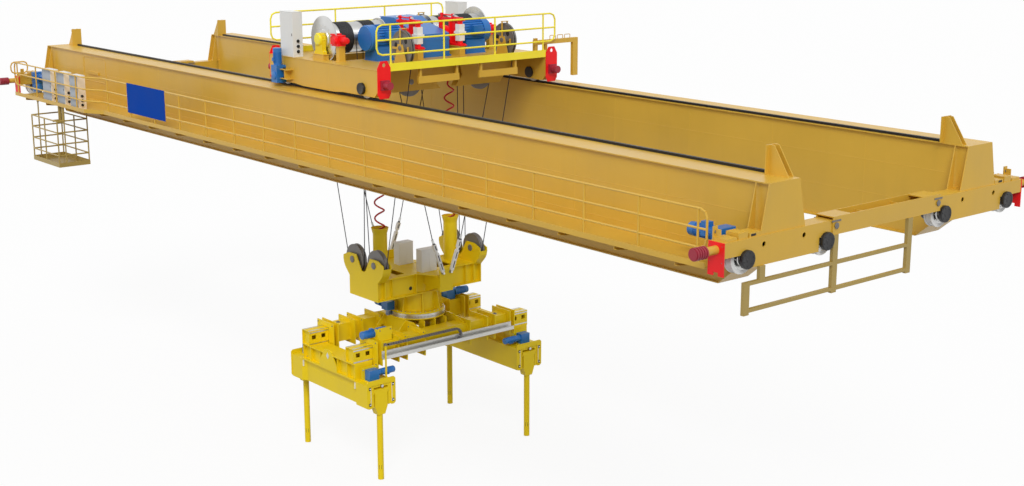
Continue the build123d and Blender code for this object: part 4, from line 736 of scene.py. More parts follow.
def truck_details():
    """Cover rims on the bearings, and the plates and brackets on top of the end trucks."""
    rims, ochre, dark, grey = shapes(4)
    front = [(-0.004, 0.161), (0.008, 0.156), (0.012, 0.146), (0.007, 0.128), (0.006, 0.05), (0.012, 0.045),
             (0.013, 0)]
    back = [(-0.004, 0.161), (0.008, 0.156), (0.012, 0.14), (0.012, 0)]
    for y in WHEEL_Y:
        rims.lathe((TRUCK_FACE + CAP_DEPTH, y, WHEEL_R), X, front, 40)
        rims.lathe((TRUCK_BACK - CAP_DEPTH, y, WHEEL_R), -X, back, 40)
        rims.bolts_round((TRUCK_FACE + CAP_DEPTH + 0.006, y, WHEEL_R), X, 0.112, 0.010, 6)
    for y in TRUCK_HOLES_Y:
        rim = [(-0.002, 0.056), (0.004, 0.054), (0.004, 0.045), (-0.015, 0.045)]
        ochre.lathe((TRUCK_FACE, y, 0.44), X, rim, 28, loop=True)
    x0, x1 = TRUCK_BACK + 0.03, TRUCK_FACE - 0.02
    for y0, y1, high, bolts in TOP_PLATES:
        ochre.box((x0, x1), (y0, y1), (TRUCK_TOP, TRUCK_TOP + high))
        for y in bolts:
            for x in about(TRUCK_X, 0.1):
                ochre.bolt((x, y, TRUCK_TOP + high), Z, 0.014)
    ochre.box((x0 - 0.02, x0 + 0.005), (4.12, 4.22), (TRUCK_TOP - 0.05, TRUCK_TOP + 0.22))
    ochre.box((x0, x0 + 0.12), (4.16, 4.18), (TRUCK_TOP, TRUCK_TOP + 0.18))
    # A dark patch of painted shade where the top plate has a slot.
    dark.box((x1 - 0.003, x1 + 0.002), (3.50, 3.62), (TRUCK_TOP + 0.018, TRUCK_TOP + 0.058))
    grey.button((x0 + 0.005, 4.17, TRUCK_TOP + 0.13), X, 0.03, 0.02, (0, 0.012, 0.014), 20)
    for x in about(TRUCK_X, 0.13):
        for z in (0.26, 0.53):
            grey.bolt((x, TRUCK_OUTER_Y + 0.025, z), Y, 0.007)
    mirrored(0, rims, ochre, dark, grey)
    mirrored(1, rims, ochre, dark, grey)
    piece("bearing_cover_rims", rims, "black", "bridge")
    piece("truck_top_plates", ochre, "ochre", "bridge")
    piece("truck_plate_slot_shade", dark, "dark", "bridge")
    piece("truck_small_parts", grey, "grey", "bridge")


def tie_details():
    """Heads of the pins that join the tie beams to the trucks."""
    shape = Shape()
    for x, out in ((TRUCK_FACE + 0.04, 1), (TRUCK_BACK - 0.04, -1)):
        shape.button((x, 1.48, 0.49), X * out, 0.055, 0.047, (-0.004, 0.008, 0.012), 28)
        shape.box((x - out * 0.014, x - out * 0.004), (1.36, 1.60), (0.56, 0.59))
    mirrored(0, shape)
    mirrored(1, shape)
    piece("tie_pin_heads", shape, "grey", "bridge")


def wheel_hubs():
    """Turned hubs on the travelling wheels."""
    hub = [(0.081, 0.2), (0.084, 0.19), (0.082, 0.13), (0.1, 0.12), (0.102, 0.08), (0.1, 0.061)]
    labels = ("near_outer", "near_inner", "far_inner", "far_outer")
    for y, label in zip((-WHEEL_Y[0], -WHEEL_Y[1], WHEEL_Y[1], WHEEL_Y[0]), labels):
        shape = Shape()
        for s in SIDES:
            shape.lathe((TRUCK_X, y, WHEEL_R), X * s, hub, 40)
            shape.bolts_round((TRUCK_X + s * 0.082, y, WHEEL_R), X * s, 0.16, 0.012, 8)
        shape.mirror(0)
        piece("wheel_hubs_" + label, shape, "steel", "wheels_" + label)


def motor(shape, start, end, radius, box_side=None, cowl=0.2):
    """A finned motor with its fan cowl and, on one side, its terminal box."""
    start, end = Vector(start), Vector(end)
    w = (end - start).normalized()
    length = (end - start).length
    neck, cover = start + w * length * (1 - cowl), length * cowl
    shape.lathe(start, w, [(0, radius * 1.06), (0.03, radius * 1.06), (0.035, radius * 0.98)])
    shape.fins(start + w * 0.05, neck, radius, radius * 0.09)
    shape.lathe(neck, w, [(0, radius * 1.08), (cover * 0.8, radius * 1.08), (cover * 0.97, radius * 0.92),
                          (cover, radius * 0.6), (cover * 0.99, 0)])
    if box_side:
        middle = start + w * length * 0.35 + box_side * radius * 1.15
        half = [radius * (0.35 + 0.1 * abs(a) - 0.05 * abs(b)) for a, b in zip(w, box_side)]
        shape.box(*[about(m, h) for m, h in zip(middle, half)])


def travel_motors():
    """Fins, plates and lids on the travel drives."""
    shape = Shape()
    x, y, z = TRUCK_BACK - CAP_DEPTH - 0.22, WHEEL_Y[0], WHEEL_R + 0.31
    motor(shape, (x, y, z), (x - 0.6, y, z), 0.112, Y)
    for up in (0.03, 0.14, 0.25, 0.36):
        shape.box((x - 0.005, x + 0.225), about(y, 0.178), (WHEEL_R - 0.1 + up, WHEEL_R - 0.085 + up))
    shape.button((x + 0.03, y, WHEEL_R), -X, 0.12, 0.1, (0, 0.04, 0.055), 32)
    lid = [(0, 0.085), (0.012, 0.085), (0.016, 0.06), (0.008, 0.05), (0.008, 0)]
    for side in SIDES:
        shape.lathe((x + 0.11, y + side * 0.17, z), Y * side, lid, 28)
    mirrored(0, shape)
    mirrored(1, shape)
    piece("travel_motor_details", shape, "blue", "bridge")


def cabinet_details(cases, body, label, door="cabinet"):
    """Doors, locks and cable glands. A case is its low and its high corner."""
    doors, dark, caps = shapes(3)
    gland = [(0, 0.04), (0.018, 0.04), (0.02, 0.03), (0.04, 0.028), (0.04, 0)]
    for (x0, y0, z0), (x1, y1, z1) in cases:
        caps.box((x0 - 0.003, x1 + 0.003), (y0 - 0.006, y1 + 0.003), (z1 - 0.004, z1 + 0.008))
        doors.box((x0 + 0.012, x1 - 0.012), (y0 - 0.006, y0 + 0.002), (z0 + 0.015, z1 - 0.015))
        dark.box((x1 - 0.05, x1 - 0.035), (y0 - 0.012, y0 - 0.005), about((z0 + z1) / 2, 0.03))
        for z in (z0 + 0.15, z1 - 0.15):
            doors.rod((x0 + 0.015, y0 - 0.008, z - 0.03), (x0 + 0.015, y0 - 0.008, z + 0.03), 0.007, 10)
        for i in range(3):
            dark.lathe((x1 - 0.002, (y0 + y1) / 2, z0 + 0.13 + i * 0.125), X, gland, 20)
    piece(label + "_doors", doors, door, body)
    piece(label + "_caps", caps, "cabinet", body)
    piece(label + "_fittings", dark, "dark", body)


def walkway_cabinets():
    """Fittings of the walkway's cabinets, whose fronts and sides take the light differently."""
    sides = Shape()
    cases = []
    y0, y1 = WALK_CASE_Y
    z0, z1 = WALK_DECK_Z, WALK_DECK_Z + WALK_CASE_HEIGHT
    for x, width in WALK_CASES:
        x0, x1 = about(x, width / 2)
        cases.append(((x0, y0, z0), (x1, y1, z1)))
        sides.box((x1 - 0.001, x1 + 0.003), (y0 + 0.004, y1 - 0.004), (z0 + 0.004, z1 - 0.006))
    # The walkway cabinets' doors take the front finish, which is the white with painted shade.
    cabinet_details(cases, "bridge", "walkway_cabinet", "front")
    piece("walkway_cabinet_sides", sides, "cabinet_side_painted_light", "bridge")


def sign_plate():
    """A bare sign hung on the walkway's rails."""
    shape, clips = shapes(2)
    x0, x1 = SIGN_X
    shape.box(SIGN_X, (SIGN_Y - 0.012, SIGN_Y), SIGN_Z)
    piece("sign_plate", shape, "sign", "bridge")
    for x in (x0 + 0.2, (x0 + x1) / 2, x1 - 0.2):
        for z in (0.395, 0.715):
            clips.box(about(x, 0.02), (SIGN_Y, SIGN_Y + RAIL_GAP), (z + 0.02, z + 0.026))
            clips.box(about(x, 0.02), (SIGN_Y + RAIL_GAP - 0.005, SIGN_Y + RAIL_GAP), (z - 0.02, z + 0.026))
    piece("sign_clips", clips, "ochre", "bridge")


bridge_seams()
web_fittings()
truck_details()
tie_details()
wheel_hubs()
travel_motors()
walkway_cabinets()
sign_plate()


# Trolley details

def drum_details():
    """Grooved barrels with rope on them, and the turned brake discs."""
    barrel, turns, disc = shapes(3, (DRUM[0], 0, DRUM[1]))
    start, end, groove = 0.74, 2.25, 0.032
    count = int((end - start) / groove)
    profile = []
    for i in range(count):
        y = start + i * groove
        profile += [(y, DRUM_R + 0.004), (y + groove / 2, DRUM_R - 0.004)]
    barrel.lathe(ORIGIN, Y, profile + [(start + count * groove, DRUM_R + 0.004)], 56)
    for y0, y1 in ((0.98, 1.36), (1.66, 2.06)):
        wound = []
        for i in range(int((y1 - y0) / groove)):
            for share, rise in ((0, 0), (0.25, 0.014), (0.5, 0.019), (0.75, 0.014)):
                wound.append((y0 + (i + share) * groove, DRUM_R + rise))
        turns.lathe(ORIGIN, Y, wound, 56)
    face = [(-0.03, 0.541), (0.002, 0.541), (0.004, 0.53), (0.002, 0.42), (0.006, 0.40), (0.006, 0.24),
            (0.03, 0.22), (0.034, 0.14), (0.034, 0.081)]
    disc.lathe((0, 2.295, 0), Y, face, 64)
    disc.bolts_round((0, 2.301, 0), Y, 0.32, 0.014, 12)
    mirrored(1, barrel, turns, disc)
    piece("drum_barrels", barrel, "steel", "drums", smooth=25)
    piece("drum_rope_turns", turns, "rope", "drums", smooth=60)
    piece("drum_discs", disc, "steel", "drums")


def gearbox_details(blue, drum_z):
    """The flange, feet, ribs and bearing covers of the gearbox, and the motors' fins and feet."""
    motor_z = HOIST_MOTOR_Z - DECK_Z
    motor(blue, (0.75, 0.9, motor_z), (0.75, 1.8, motor_z), 0.285, cowl=0.24)
    for i in range(17):
        x = -0.6 + 0.1 * i
        blue.bolt((x, 0.40, 0.88 if x < 0.02 else 0.74 if x < 0.3 else 0.54), Z, 0.018)
    blue.box((-0.61, 1.11), (0, 0.445), (0.40, 0.44))
    blue.box((-0.63, 1.13), (0.36, 0.47), (0, 0.04))
    for x in (-0.45, -0.05, 0.45, 0.85):
        blue.box(about(x, 0.015), (0.43, 0.46), (0.04, 0.54))
    for x, z, r in ((DRUM[0], drum_z, 0.2), (0.35, 0.42, 0.13), (0.75, 0.42, 0.12)):
        blue.lathe((x, 0.43, z), Y, [(0, r), (0.03, r), (0.04, r * 0.9), (0.045, r * 0.5)])
    blue.bolts_round((0.35, 0.46, 0.42), Y, 0.1, 0.012, 8)
    for x in (0.53, 0.97):
        for y in (1.08, 1.56):
            blue.bolt((x, y, 0.012), Z, 0.02)
    blue.box((0.47, 1.03), (1.0, 1.64), (0, 0.012))


def motor_brake(white, red, grey):
    """The brake between motor and gearbox: its thruster, wheel, levers and nuts."""
    x, y, low, high = 1.28, 0.63, 0.37, 0.77
    white.box(about(x, 0.08), about(y, 0.08), (low, high))
    white.box(about(x, 0.115), about(y, 0.1), about((low + high) / 2, 0.03))
    white.rod((x, y, high), (x, y, 0.9), 0.022, 14)
    white.rod((x, y, low), (x, y, 0.30), 0.05, 20)
    wheel = [(0, 0.09), (0.01, 0.18), (0.14, 0.18), (0.15, 0.1), (0.3, 0.1), (0.31, 0.15), (0.38, 0.15),
             (0.39, 0.06)]
    red.lathe((0.75, 0.47, HOIST_MOTOR_Z - DECK_Z), Y, wheel)
    for x0 in (0.53, 0.93):
        red.box((x0, x0 + 0.05), (0.55, 0.65), (0.27, 0.87))
    for strap in ((0.56, 0.585), (0.675, 0.70)):
        red.box((0.5, 1.38), strap, (0.84, 0.90))
    for pin in (0.55, 0.955, 1.01, x):
        red.rod((pin, 0.54, 0.87), (pin, 0.72, 0.87), 0.024, 12)
    for lug in (0.56, 0.99):
        red.box(about(lug, 0.02), (0.6, 0.66), (0.87, 1.0))
    red.rod((0.50, y, 0.96), (1.05, y, 0.96), 0.018, 12)
    red.box((0.5, 1.42), about(y, 0.1), (0.25, 0.275))
    for nut in (0.47, 1.04):
        grey.rod((nut - 0.03, y, 0.96), (nut + 0.03, y, 0.96), 0.03, 6)


def disc_brake(red, grey, drum_z):
    """The caliper on the drum's disc, with its bellows."""
    y = 2.282
    drum = [(-0.002, 0.085), (0.02, 0.085), (0.03, 0.07), (0.05, 0.066), (0.055, 0.03), (0.055, 0)]
    for side in SIDES:
        face = y + side * 0.110
        red.lathe((0.41, face, drum_z), Y * side, drum, 28)
        red.box((0.20, 0.34), (y + side * 0.06, y + side * 0.112), (drum_z + 0.12, drum_z + 0.16))
        for z in (drum_z - 0.1, drum_z + 0.11):
            grey.button((0.24, face, z), Y * side, 0.018, 0.012, (0, 0.016, 0.018), 12)
    start, fold, z = 0.51, 0.036, drum_z + 0.02
    for i in range(6):
        red.lathe((start + i * fold, y, z), X, [(0, 0.078), (0.02, 0.078), (0.022, 0.066), (fold, 0.066)], 28)
    red.lathe((start + 6 * fold, y, z), X, [(0, 0.07), (0.02, 0.062), (0.03, 0.03), (0.03, 0)], 28)


def hoist_drive_details():
    """Details of the hoist's drive. Their heights are above the deck."""
    blue, white, red, grey = shapes(4, (0, 0, DECK_Z))
    drum_z = DRUM[1] - DECK_Z
    gearbox_details(blue, drum_z)
    motor_brake(white, red, grey)
    disc_brake(red, grey, drum_z)
    mirrored(1, blue, white, red, grey)
    piece("hoist_drive_details", blue, "blue", "trolley")
    piece("brake_thrusters", white, "white", "trolley")
    piece("brake_linkages", red, "red", "trolley")
    piece("brake_nuts", grey, "steel", "trolley")


def pedestal_details():
    """Covers and bolts of the drum bearings, and plates under the stands."""
    yellow, grey, ochre = shapes(3)
    x, z = DRUM
    cover = [(-0.03, 0.142), (-0.004, 0.142), (0, 0.13), (0.012, 0.125), (0.016, 0.1)]
    yellow.lathe((x, 2.47, z), Y, cover, 36)
    yellow.box(about(x, 0.155), (2.325, 2.445), about(z, 0.012))
    for s in SIDES:
        grey.bolt((x + s * 0.165, 2.385, DECK_Z + 0.18), Z, 0.022)
        grey.bolt((x + s * 0.12, 2.385, z + 0.09), Z, 0.016)
    grey.bolts_round((x, 2.482, z), Y, 0.112, 0.010, 6)
    ochre.box(about(x, 0.25), (2.30, 2.47), (DECK_Z + 0.118, DECK_Z + 0.132))
    stands = (((0.34, 0.51), (2.17, 2.36), 2.51), ((0.94, 1.40), (0.53, 0.73), DECK_Z + 0.25))
    for along, across, top in stands:
        ochre.box(along, across, (top - 0.014, top + 0.001))
        ochre.box(along, across, (DECK_Z, DECK_Z + 0.014))
    mirrored(1, yellow, grey, ochre)
    piece("bearing_covers", yellow, "lemon", "trolley")
    piece("bearing_bolts", grey, "steel", "trolley")
    piece("stand_plates", ochre, "ochre", "trolley")


def sheave_faces(faces, holes, centre, axis, radius, width):
    """A rope wheel's rims and hubs, and dark discs of painted shade in the round holes of its web, on both
    sides.
    """
    centre, half = Vector(centre), width / 2
    rim = [(half - 0.004, radius), (half + 0.004, radius - 0.006), (half + 0.003, radius - 0.055),
           (half - 0.001, radius - 0.06)]
    hub = [(half - 0.004, radius * 0.30), (half + 0.016, radius * 0.28), (half + 0.018, radius * 0.14)]
    hole = [(0, radius * 0.15), (0.0045, radius * 0.15), (0.0048, radius * 0.14), (0.0035, 0)]
    u = axis.orthogonal().normalized()
    for w in (-axis, axis):
        faces.lathe(centre, w, rim, 48)
        faces.lathe(centre, w, hub)
        for out in directions(6, 0, u, axis.cross(u)):
            holes.lathe(centre + out * radius * 0.56 + w * (half - 0.003), w, hole, 18)


def all_sheaves():
    """Faces of the rope wheels, which turn on bodies of their own."""
    groups = []
    for s, label in ((-1, "left"), (1, "right")):
        places = [(s * UPPER[0], f * UPPER[1], UPPER[2]) for f in SIDES]
        groups.append(("high_sheaves_" + label, places, Y, UPPER[3], 0.08))
        places = [(s * BLOCK_PIN[0], f * BLOCK_FALL_Y, BLOCK_PIN[1]) for f in SIDES]
        groups.append(("block_wheels_" + label, places, Y, BLOCK_PIN[2], 0.11))
    for f, label in ENDS:
        places = [(s * LOWER[0], f * LOWER[1], LOWER[2]) for s in SIDES]
        groups.append(("low_sheaves_" + label, places, X, LOWER[3], 0.08))
    for body, places, axis, radius, width in groups:
        faces, holes = shapes(2, MIDDLE)
        for centre in places:
            sheave_faces(faces, holes, centre, axis, radius, width)
        piece(body + "_faces", faces, "grey", body)
        # The dark discs are painted shade in the web's holes.
        if body.startswith("high"):
            piece(body + "_web_holes", holes, "dark", body)


def sheave_keepers():
    """Straps over the upper sheaves that keep the ropes in their grooves, and the heads of the pins."""
    ochre, grey = shapes(2, MIDDLE)
    z = UPPER[2]
    head = (-0.002, 0.01, 0.014)
    for side in SIDES:
        x = side * UPPER[0]
        for s in SIDES:
            y = UPPER[1] + s * 0.08
            ochre.box(about(x, 0.022), about(y, 0.006), (z + 0.05, z + 0.455))
            ochre.box(about(x + side * 0.30, 0.02), about(y, 0.012), (z - 0.06, z + 0.05))
            grey.button((x, y + s * 0.012, z), Y * s, 0.06, 0.05, head, 24)
            grey.button((side * LOWER[0] + s * 0.092, LOWER[1], LOWER[2]), X * s, 0.065, 0.055, head, 24)
        ochre.box(about(x, 0.035), about(UPPER[1], 0.09), (z + 0.44, z + 0.455))
    mirrored(1, ochre, grey)
    piece("sheave_keepers", ochre, "ochre", "trolley")
    piece("sheave_pin_heads", grey, "grey", "trolley")


def trolley_details():
    """Toe faces, axle covers, the travel drives with their torque arms, seams and cabinets."""
    lemon, black, blue, ochre, dark = shapes(5, MIDDLE)
    axle_x, side, drive_y = 1.7, SIDE_OUT - 0.002, SIDE_OUT + 0.15
    for x in (-TROLLEY_HALF, TROLLEY_HALF):
        lemon.box((x - 0.014, x + 0.006), (-SIDE_IN, SIDE_IN), (DECK_Z - 0.045, DECK_Z + 0.13))
    cover = [(-0.004, 0.136), (0.008, 0.13), (0.012, 0.12), (0.006, 0.1), (0.006, 0)]
    black.lathe((axle_x, SIDE_OUT + 0.06, TROLLEY_AXLE_Z), Y, cover, 36)
    x = -axle_x
    motor(blue, (x, drive_y, RAIL_TOP + 0.46), (x, drive_y, RAIL_TOP + 0.87), 0.097, Y, 0.25)
    blue.button((x, SIDE_OUT + 0.255, TROLLEY_AXLE_Z), Y, 0.1, 0.085, (0, 0.02, 0.026), 28)
    for up in (0.12, 0.34):
        z = RAIL_TOP + up
        blue.box(about(x, 0.135), (SIDE_OUT + 0.005, SIDE_OUT + 0.265), (z, z + 0.014))
        ochre.box((x + 0.128, x + 0.46), (side, SIDE_OUT + 0.17), (z + 0.02, z + 0.04))
        dark.button((x + 0.20, SIDE_OUT + 0.09, z + 0.038), Z, 0.035, 0.02, (0, 0.03, 0.034), 20)
    ochre.box((x + 0.30, x + 0.32), (side, SIDE_OUT + 0.16), (RAIL_TOP + 0.14, RAIL_TOP + 0.38))
    for i in range(4):
        seam = -1.0 + 0.66 * i
        ochre.bead((seam, SIDE_OUT, 1.6), (seam, SIDE_OUT, DECK_Z - 0.01), Y, 0.016, 0.002)
    ochre.box((-TROLLEY_HALF, TROLLEY_HALF), (side, SIDE_OUT + 0.012), (DECK_Z - 0.012, DECK_Z))
    mirrored(1, black, blue, ochre, dark)
    piece("trolley_toe_faces", lemon, "lemon", "trolley")
    piece("trolley_cover_rims", black, "black", "trolley")
    piece("trolley_motor_details", blue, "blue", "trolley")
    piece("trolley_side_parts", ochre, "ochre", "trolley")
    piece("torque_arm_rubbers", dark, "dark", "trolley")
    x0 = TROLLEY_X - 1.8
    cases = []
    for y0, y1 in ((0.02 - SIDE_OUT, 0.29 - SIDE_OUT), (SIDE_OUT - 0.29, SIDE_OUT - 0.02)):
        cases.append(((x0, y0, DECK_Z), (x0 + 0.57, y1, DECK_Z + 1.07)))
    cabinet_details(cases, "trolley", "trolley_cabinet")


def tow_arm_loops():
    """Small bent racks on the arm that draws the cable loops."""
    shape = Shape()
    x, z, r = 2.34, DECK_Z + 0.36, 0.02
    for y in (2.60, 2.84, 3.08):
        path = [Vector((x, y, z - 0.01)), Vector((x, y, z + 0.07))]
        path += arc(Vector((x, y + r, z + 0.07)), -Y, Z, r, 0, math.pi / 2, 4)
        path += arc(Vector((x, y + 0.16, z + 0.07)), -Y, Z, r, math.pi / 2, math.pi, 4)
        shape.tube(path + [Vector((x, y + 0.18, z - 0.01))], 0.009)
    for y in (2.10, 2.16):
        shape.box(about(x, 0.04), about(y, 0.008), (z - 0.002, z + 0.05))
    piece("tow_arm_loops", shape, "ochre", "trolley")


drum_details()
hoist_drive_details()
pedestal_details()
all_sheaves()
sheave_keepers()
trolley_details()
tow_arm_loops()


# Lifting block and spreader details

TRAY_X = TROLLEY_X + 1.315


def rope_anchor(steel, dark, foot, head):
    """A long rope anchor from its foot on the block to the rope's end, with dark strips of painted shade for
    slots in two of its faces.
    """
    w = (head - foot).normalized()
    across = X.cross(w)
    run = head - foot
    box = [X * a * 0.036 + across * b * 0.044 for a, b in ((1, 1), (-1, 1), (-1, -1), (1, -1))]
    for a, b in ((0.05, 0.60), (0.66, 0.86)):
        steel.prism(box, foot + run * a, foot + run * b)
    steel.rod(foot + run * 0.60, foot + run * 0.66, 0.036, 20)
    # Painted shade: dark strips where the slots are.
    for side in SIDES:
        slot = [X * side * x + across * y
                for x, y in ((0.034, -0.013), (0.034, 0.013), (0.0372, 0.013), (0.0372, -0.013))]
        for a, b in ((0.12, 0.30), (0.36, 0.54), (0.70, 0.82)):
            dark.prism(slot, foot + run * a, foot + run * b)
    dark.rod(foot + run * 0.86, foot + run * 0.995, 0.032, 14, 0.02)


def block_details():
    """Rope anchors, pin heads, stiffeners, holes with dark discs of painted shade in them, and boxes of the
    lifting block.
    """
    steel, dark, bolts, yellow, shaded_hole_discs, doors, caps = shapes(7, MIDDLE)
    web = (BLOCK_BOTTOM + 0.025, BLOCK_TOP - 0.025)
    hole_shade_profile = [(0, 0.05), (0.003, 0.05), (0.0035, 0.045), (0.0025, 0)]
    rim = [(0, 0.062), (0.005, 0.06), (0.005, 0.05), (0, 0.05)]
    for s in SIDES:
        face = s * 0.51
        for f in SIDES:
            pin = s * BLOCK_PIN[0]
            bolts.button((pin, f * 1.625, BLOCK_PIN[1]), Y * f, 0.085, 0.078, (0, 0.018, 0.022), 32)
            bolts.button((pin, f * 1.38, BLOCK_PIN[1]), -Y * f, 0.085, 0.078, (0, 0.012, 0.016), 32)
            foot = Vector((s * LOWER[0], f * 0.12, BLOCK_TOP + 0.10))
            head = Vector((s * LOWER[0], f * 0.45, BLOCK_TOP + 1.0))
            rope_anchor(steel, dark, foot, head)
            bolts.button((s * 1.265, f * 0.12, BLOCK_TOP + 0.105), X * s, 0.038, 0.03, (0, 0.014, 0.018), 20)
            for y, depth, half in ((0.43, 0.085, 0.012), (1.15, 0.075, 0.008)):
                yellow.box((face, face + s * depth), about(f * y, half), web)
        # A dark disc of painted shade in the hole through the web, inside a yellow rim.
        place = (face - s * 0.001, -0.56, BLOCK_BOTTOM + 0.17)
        shaded_hole_discs.lathe(place, X * s, hole_shade_profile, 24)
        yellow.lathe(place, X * s, rim, 24, loop=True)
    low, high = BLOCK_TOP, BLOCK_TOP + 0.57
    for x0, x1, y0, y1 in ((-0.6, -0.375, -0.26, 0.18), (0.375, 0.6, -0.27, 0.20)):
        middle = (y0 + y1) / 2
        for leaf in ((y0 + 0.008, middle - 0.003), (middle + 0.003, y1 - 0.008)):
            doors.box((x1 - 0.002, x1 + 0.006), leaf, (low + 0.012, high - 0.012))
        caps.box((x0 - 0.004, x1 + 0.008), (y0 - 0.004, y1 + 0.004), (high - 0.003, high + 0.006))
    piece("rope_anchor_bodies", steel, "white", "lifting_block")
    piece("rope_anchor_ends_and_slot_shade", dark, "dark", "lifting_block")
    piece("block_pin_heads", bolts, "grey", "lifting_block")
    piece("block_stiffeners", yellow, "yellow", "lifting_block")
    piece("block_web_holes", shaded_hole_discs, "dark", "lifting_block")
    piece("block_box_doors", doors, "cabinet", "lifting_block")
    piece("block_box_caps", caps, "cabinet", "lifting_block")


def basket_rings():
    """Rolled rims on the cable baskets' mouths and feet."""
    shape = Shape(MIDDLE)
    mouth = [(-0.004, 0.212), (-0.004, 0.219), (0.004, 0.219), (0.004, 0.207)]
    foot = [(0, 0.177), (0, 0.225), (0.014, 0.225), (0.02, 0.177)]
    for f in SIDES:
        shape.lathe((0, f * 1.1, BASKET_TOP), Z, mouth, 40, loop=True)
        shape.lathe((0, f * 1.1, BLOCK_TOP), Z, foot, 40, loop=True)
        shape.bolts_round((0, f * 1.1, BLOCK_TOP + 0.014), Z, 0.203, 0.01, 10)
    piece("basket_rings", shape, "yellow", "lifting_block")


def slot_ring(out, near, far, half):
    """The outline of an upright slot that looks outward, between two distances from the axis."""
    side = Z.cross(out) * half
    return [out * near - side, out * near + side, out * far + side, out * far - side]


def slewing_details():
    """Dark strips of painted shade between the slewing ring's teeth, the ring's bolts, and its pinion and
    drive.
    """
    shaded_tooth_spaces, bolts = shapes(2, (TROLLEY_X, 0, RING_Z))
    # Painted shade: a dark strip stands in each space between two teeth.
    for out in directions(120):
        shaded_tooth_spaces.prism(slot_ring(out, 0.716, 0.7206, 0.005), -Z * 0.04, Z * 0.01)
    for out in directions(32, 0.5):
        bolts.bolt(out * 0.66 + Z * 0.095, Z, 0.017)
    y = -0.7592
    pinion, blue = shapes(2, (0, y, 0))
    for z, r, high in ((-4.305, 0.085, 0.025), (-4.43, 0.05, 0.022)):
        pinion.lathe((0, 0, z), Z, [(0, r - 0.004), (0.004, r), (high - 0.004, r), (high, r - 0.004)], 28)
    for out in directions(16):
        pinion.prism(slot_ring(out, 0.058, 0.0606, 0.004), -Z * 4.40, -Z * 4.31)
    motor(blue, (-0.13, 0, -4.155), (-0.48, 0, -4.155), 0.092, -Y, 0.25)
    for z in (-4.22, -4.10):
        blue.box((-0.134, 0.134), (-0.114, 0.114), (z, z + 0.012))
    piece("slewing_tooth_gap_shade", shaded_tooth_spaces, "chain", "spreader")
    piece("slewing_bolts", bolts, "steel", "lifting_block")
    piece("slewing_pinion", pinion, "steel", "lifting_block")
    piece("slewing_drive_details", blue, "blue", "lifting_block")


def slide_strips():
    """Bright wear strips along the telescopic beams."""
    for f, label in ENDS:
        shape = Shape(MIDDLE)
        along = (f * 0.4, f * 2.735)
        for s in SIDES:
            for side in SIDES:
                face = s * 0.975 + side * 0.165
                for z in (-4.70, -4.99):
                    shape.box((face - side * 0.002, face + side * 0.006), along, (z, z + 0.03))
                shape.box(about(face - side * 0.04, 0.03), along, (-4.6402, -4.6398))
        piece("slide_strips_" + label, shape, "steel", "arm_" + label)


def arm_drive(blue, yellow, grey, s, f):
    """The drive that shifts one leg along the end beam, in its bracket."""
    x, z = s * 1.40, -5.25
    blue.box(about(x, 0.10), (f * 2.52, f * 2.24), (-5.40, -5.14))
    blue.lathe((x, f * 2.24, z), -Y * f, [(0, 0.085), (0.05, 0.085), (0.06, 0.07), (0.1, 0.07)], 28)
    motor(blue, (x, f * 2.14, z), (x, f * 1.74, z), 0.076, None, 0.25)
    blue.lathe((x, f * 2.14, z), -Y * f, [(0, 0.078), (0.3, 0.078)], 28)
    blue.box(about(x, 0.045), (f * 2.02, f * 1.90), (-5.345, -5.31))
    yellow.box((x - s * 0.145, x - s * 0.12), (f * 2.60, f * 2.10), (-5.425, -5.10))
    yellow.box(about(x, 0.14), (f * 2.56, f * 2.16), (-5.425, -5.40))
    for y in (2.56, 2.14):
        grey.bolt((x - s * 0.12, f * y, -5.16), X * s, 0.014)


def beam_tip(white, grey, dark, s, f):
    """The pin, the clamps and the light edges on one end of an end beam."""
    x, y, z = s * 1.705, f * 2.33, -5.478
    grey.rod((x - s * 0.05, y, z), (x + s * 0.035, y, z), 0.026, 20)
    grey.button((x + s * 0.035, y, z), X * s, 0.034, 0.028, (0, 0.012, 0.014), 20)
    for side in SIDES:
        white.box((x - s * 0.001, x + s * 0.004), about(y + side * 0.305, 0.006), (-5.93, -5.47))
        for clamp in (-5.50, -5.90):
            dark.box((x, x + s * 0.014), about(y + side * 0.335, 0.024), about(clamp, 0.035))
            white.bolt((x + s * 0.014, y + side * 0.335, clamp), X * s, 0.017)


def arm_details():
    """Drives, brackets, bolts, pins and bare plates on the end beams."""
    for f, label in ENDS:
        blue, yellow, white, grey, dark = shapes(5, MIDDLE)
        corners = ((-0.06, -5.07), (0, -5.16), (0.06, -5.07), (0, -4.98))
        grey.slab([(x, f * 2.73, z) for x, z in corners], (0, f * 0.006, 0))
        yellow.bead((-0.9, f * 2.651, -5.62), (0.9, f * 2.651, -5.62), Y * f, 0.014, 0.002)
        for s in SIDES:
            arm_drive(blue, yellow, grey, s, f)
            beam_tip(white, grey, dark, s, f)
            for z in (-5.08, -5.36):
                grey.bolt((s * 1.09, f * 2.64, z), Y * f, 0.014)
            white.box(about(s * 1.155, 0.008), (f * 2.70, f * 2.735), (-5.62, -5.46))
        piece("arm_drives_" + label, blue, "blue", "arm_" + label)
        piece("arm_brackets_" + label, yellow, "yellow", "arm_" + label)
        piece("arm_white_bolts_" + label, white, "white", "arm_" + label)
        piece("arm_pins_" + label, grey, "steel", "arm_" + label)
        piece("arm_clamps_" + label, dark, "dark", "arm_" + label)


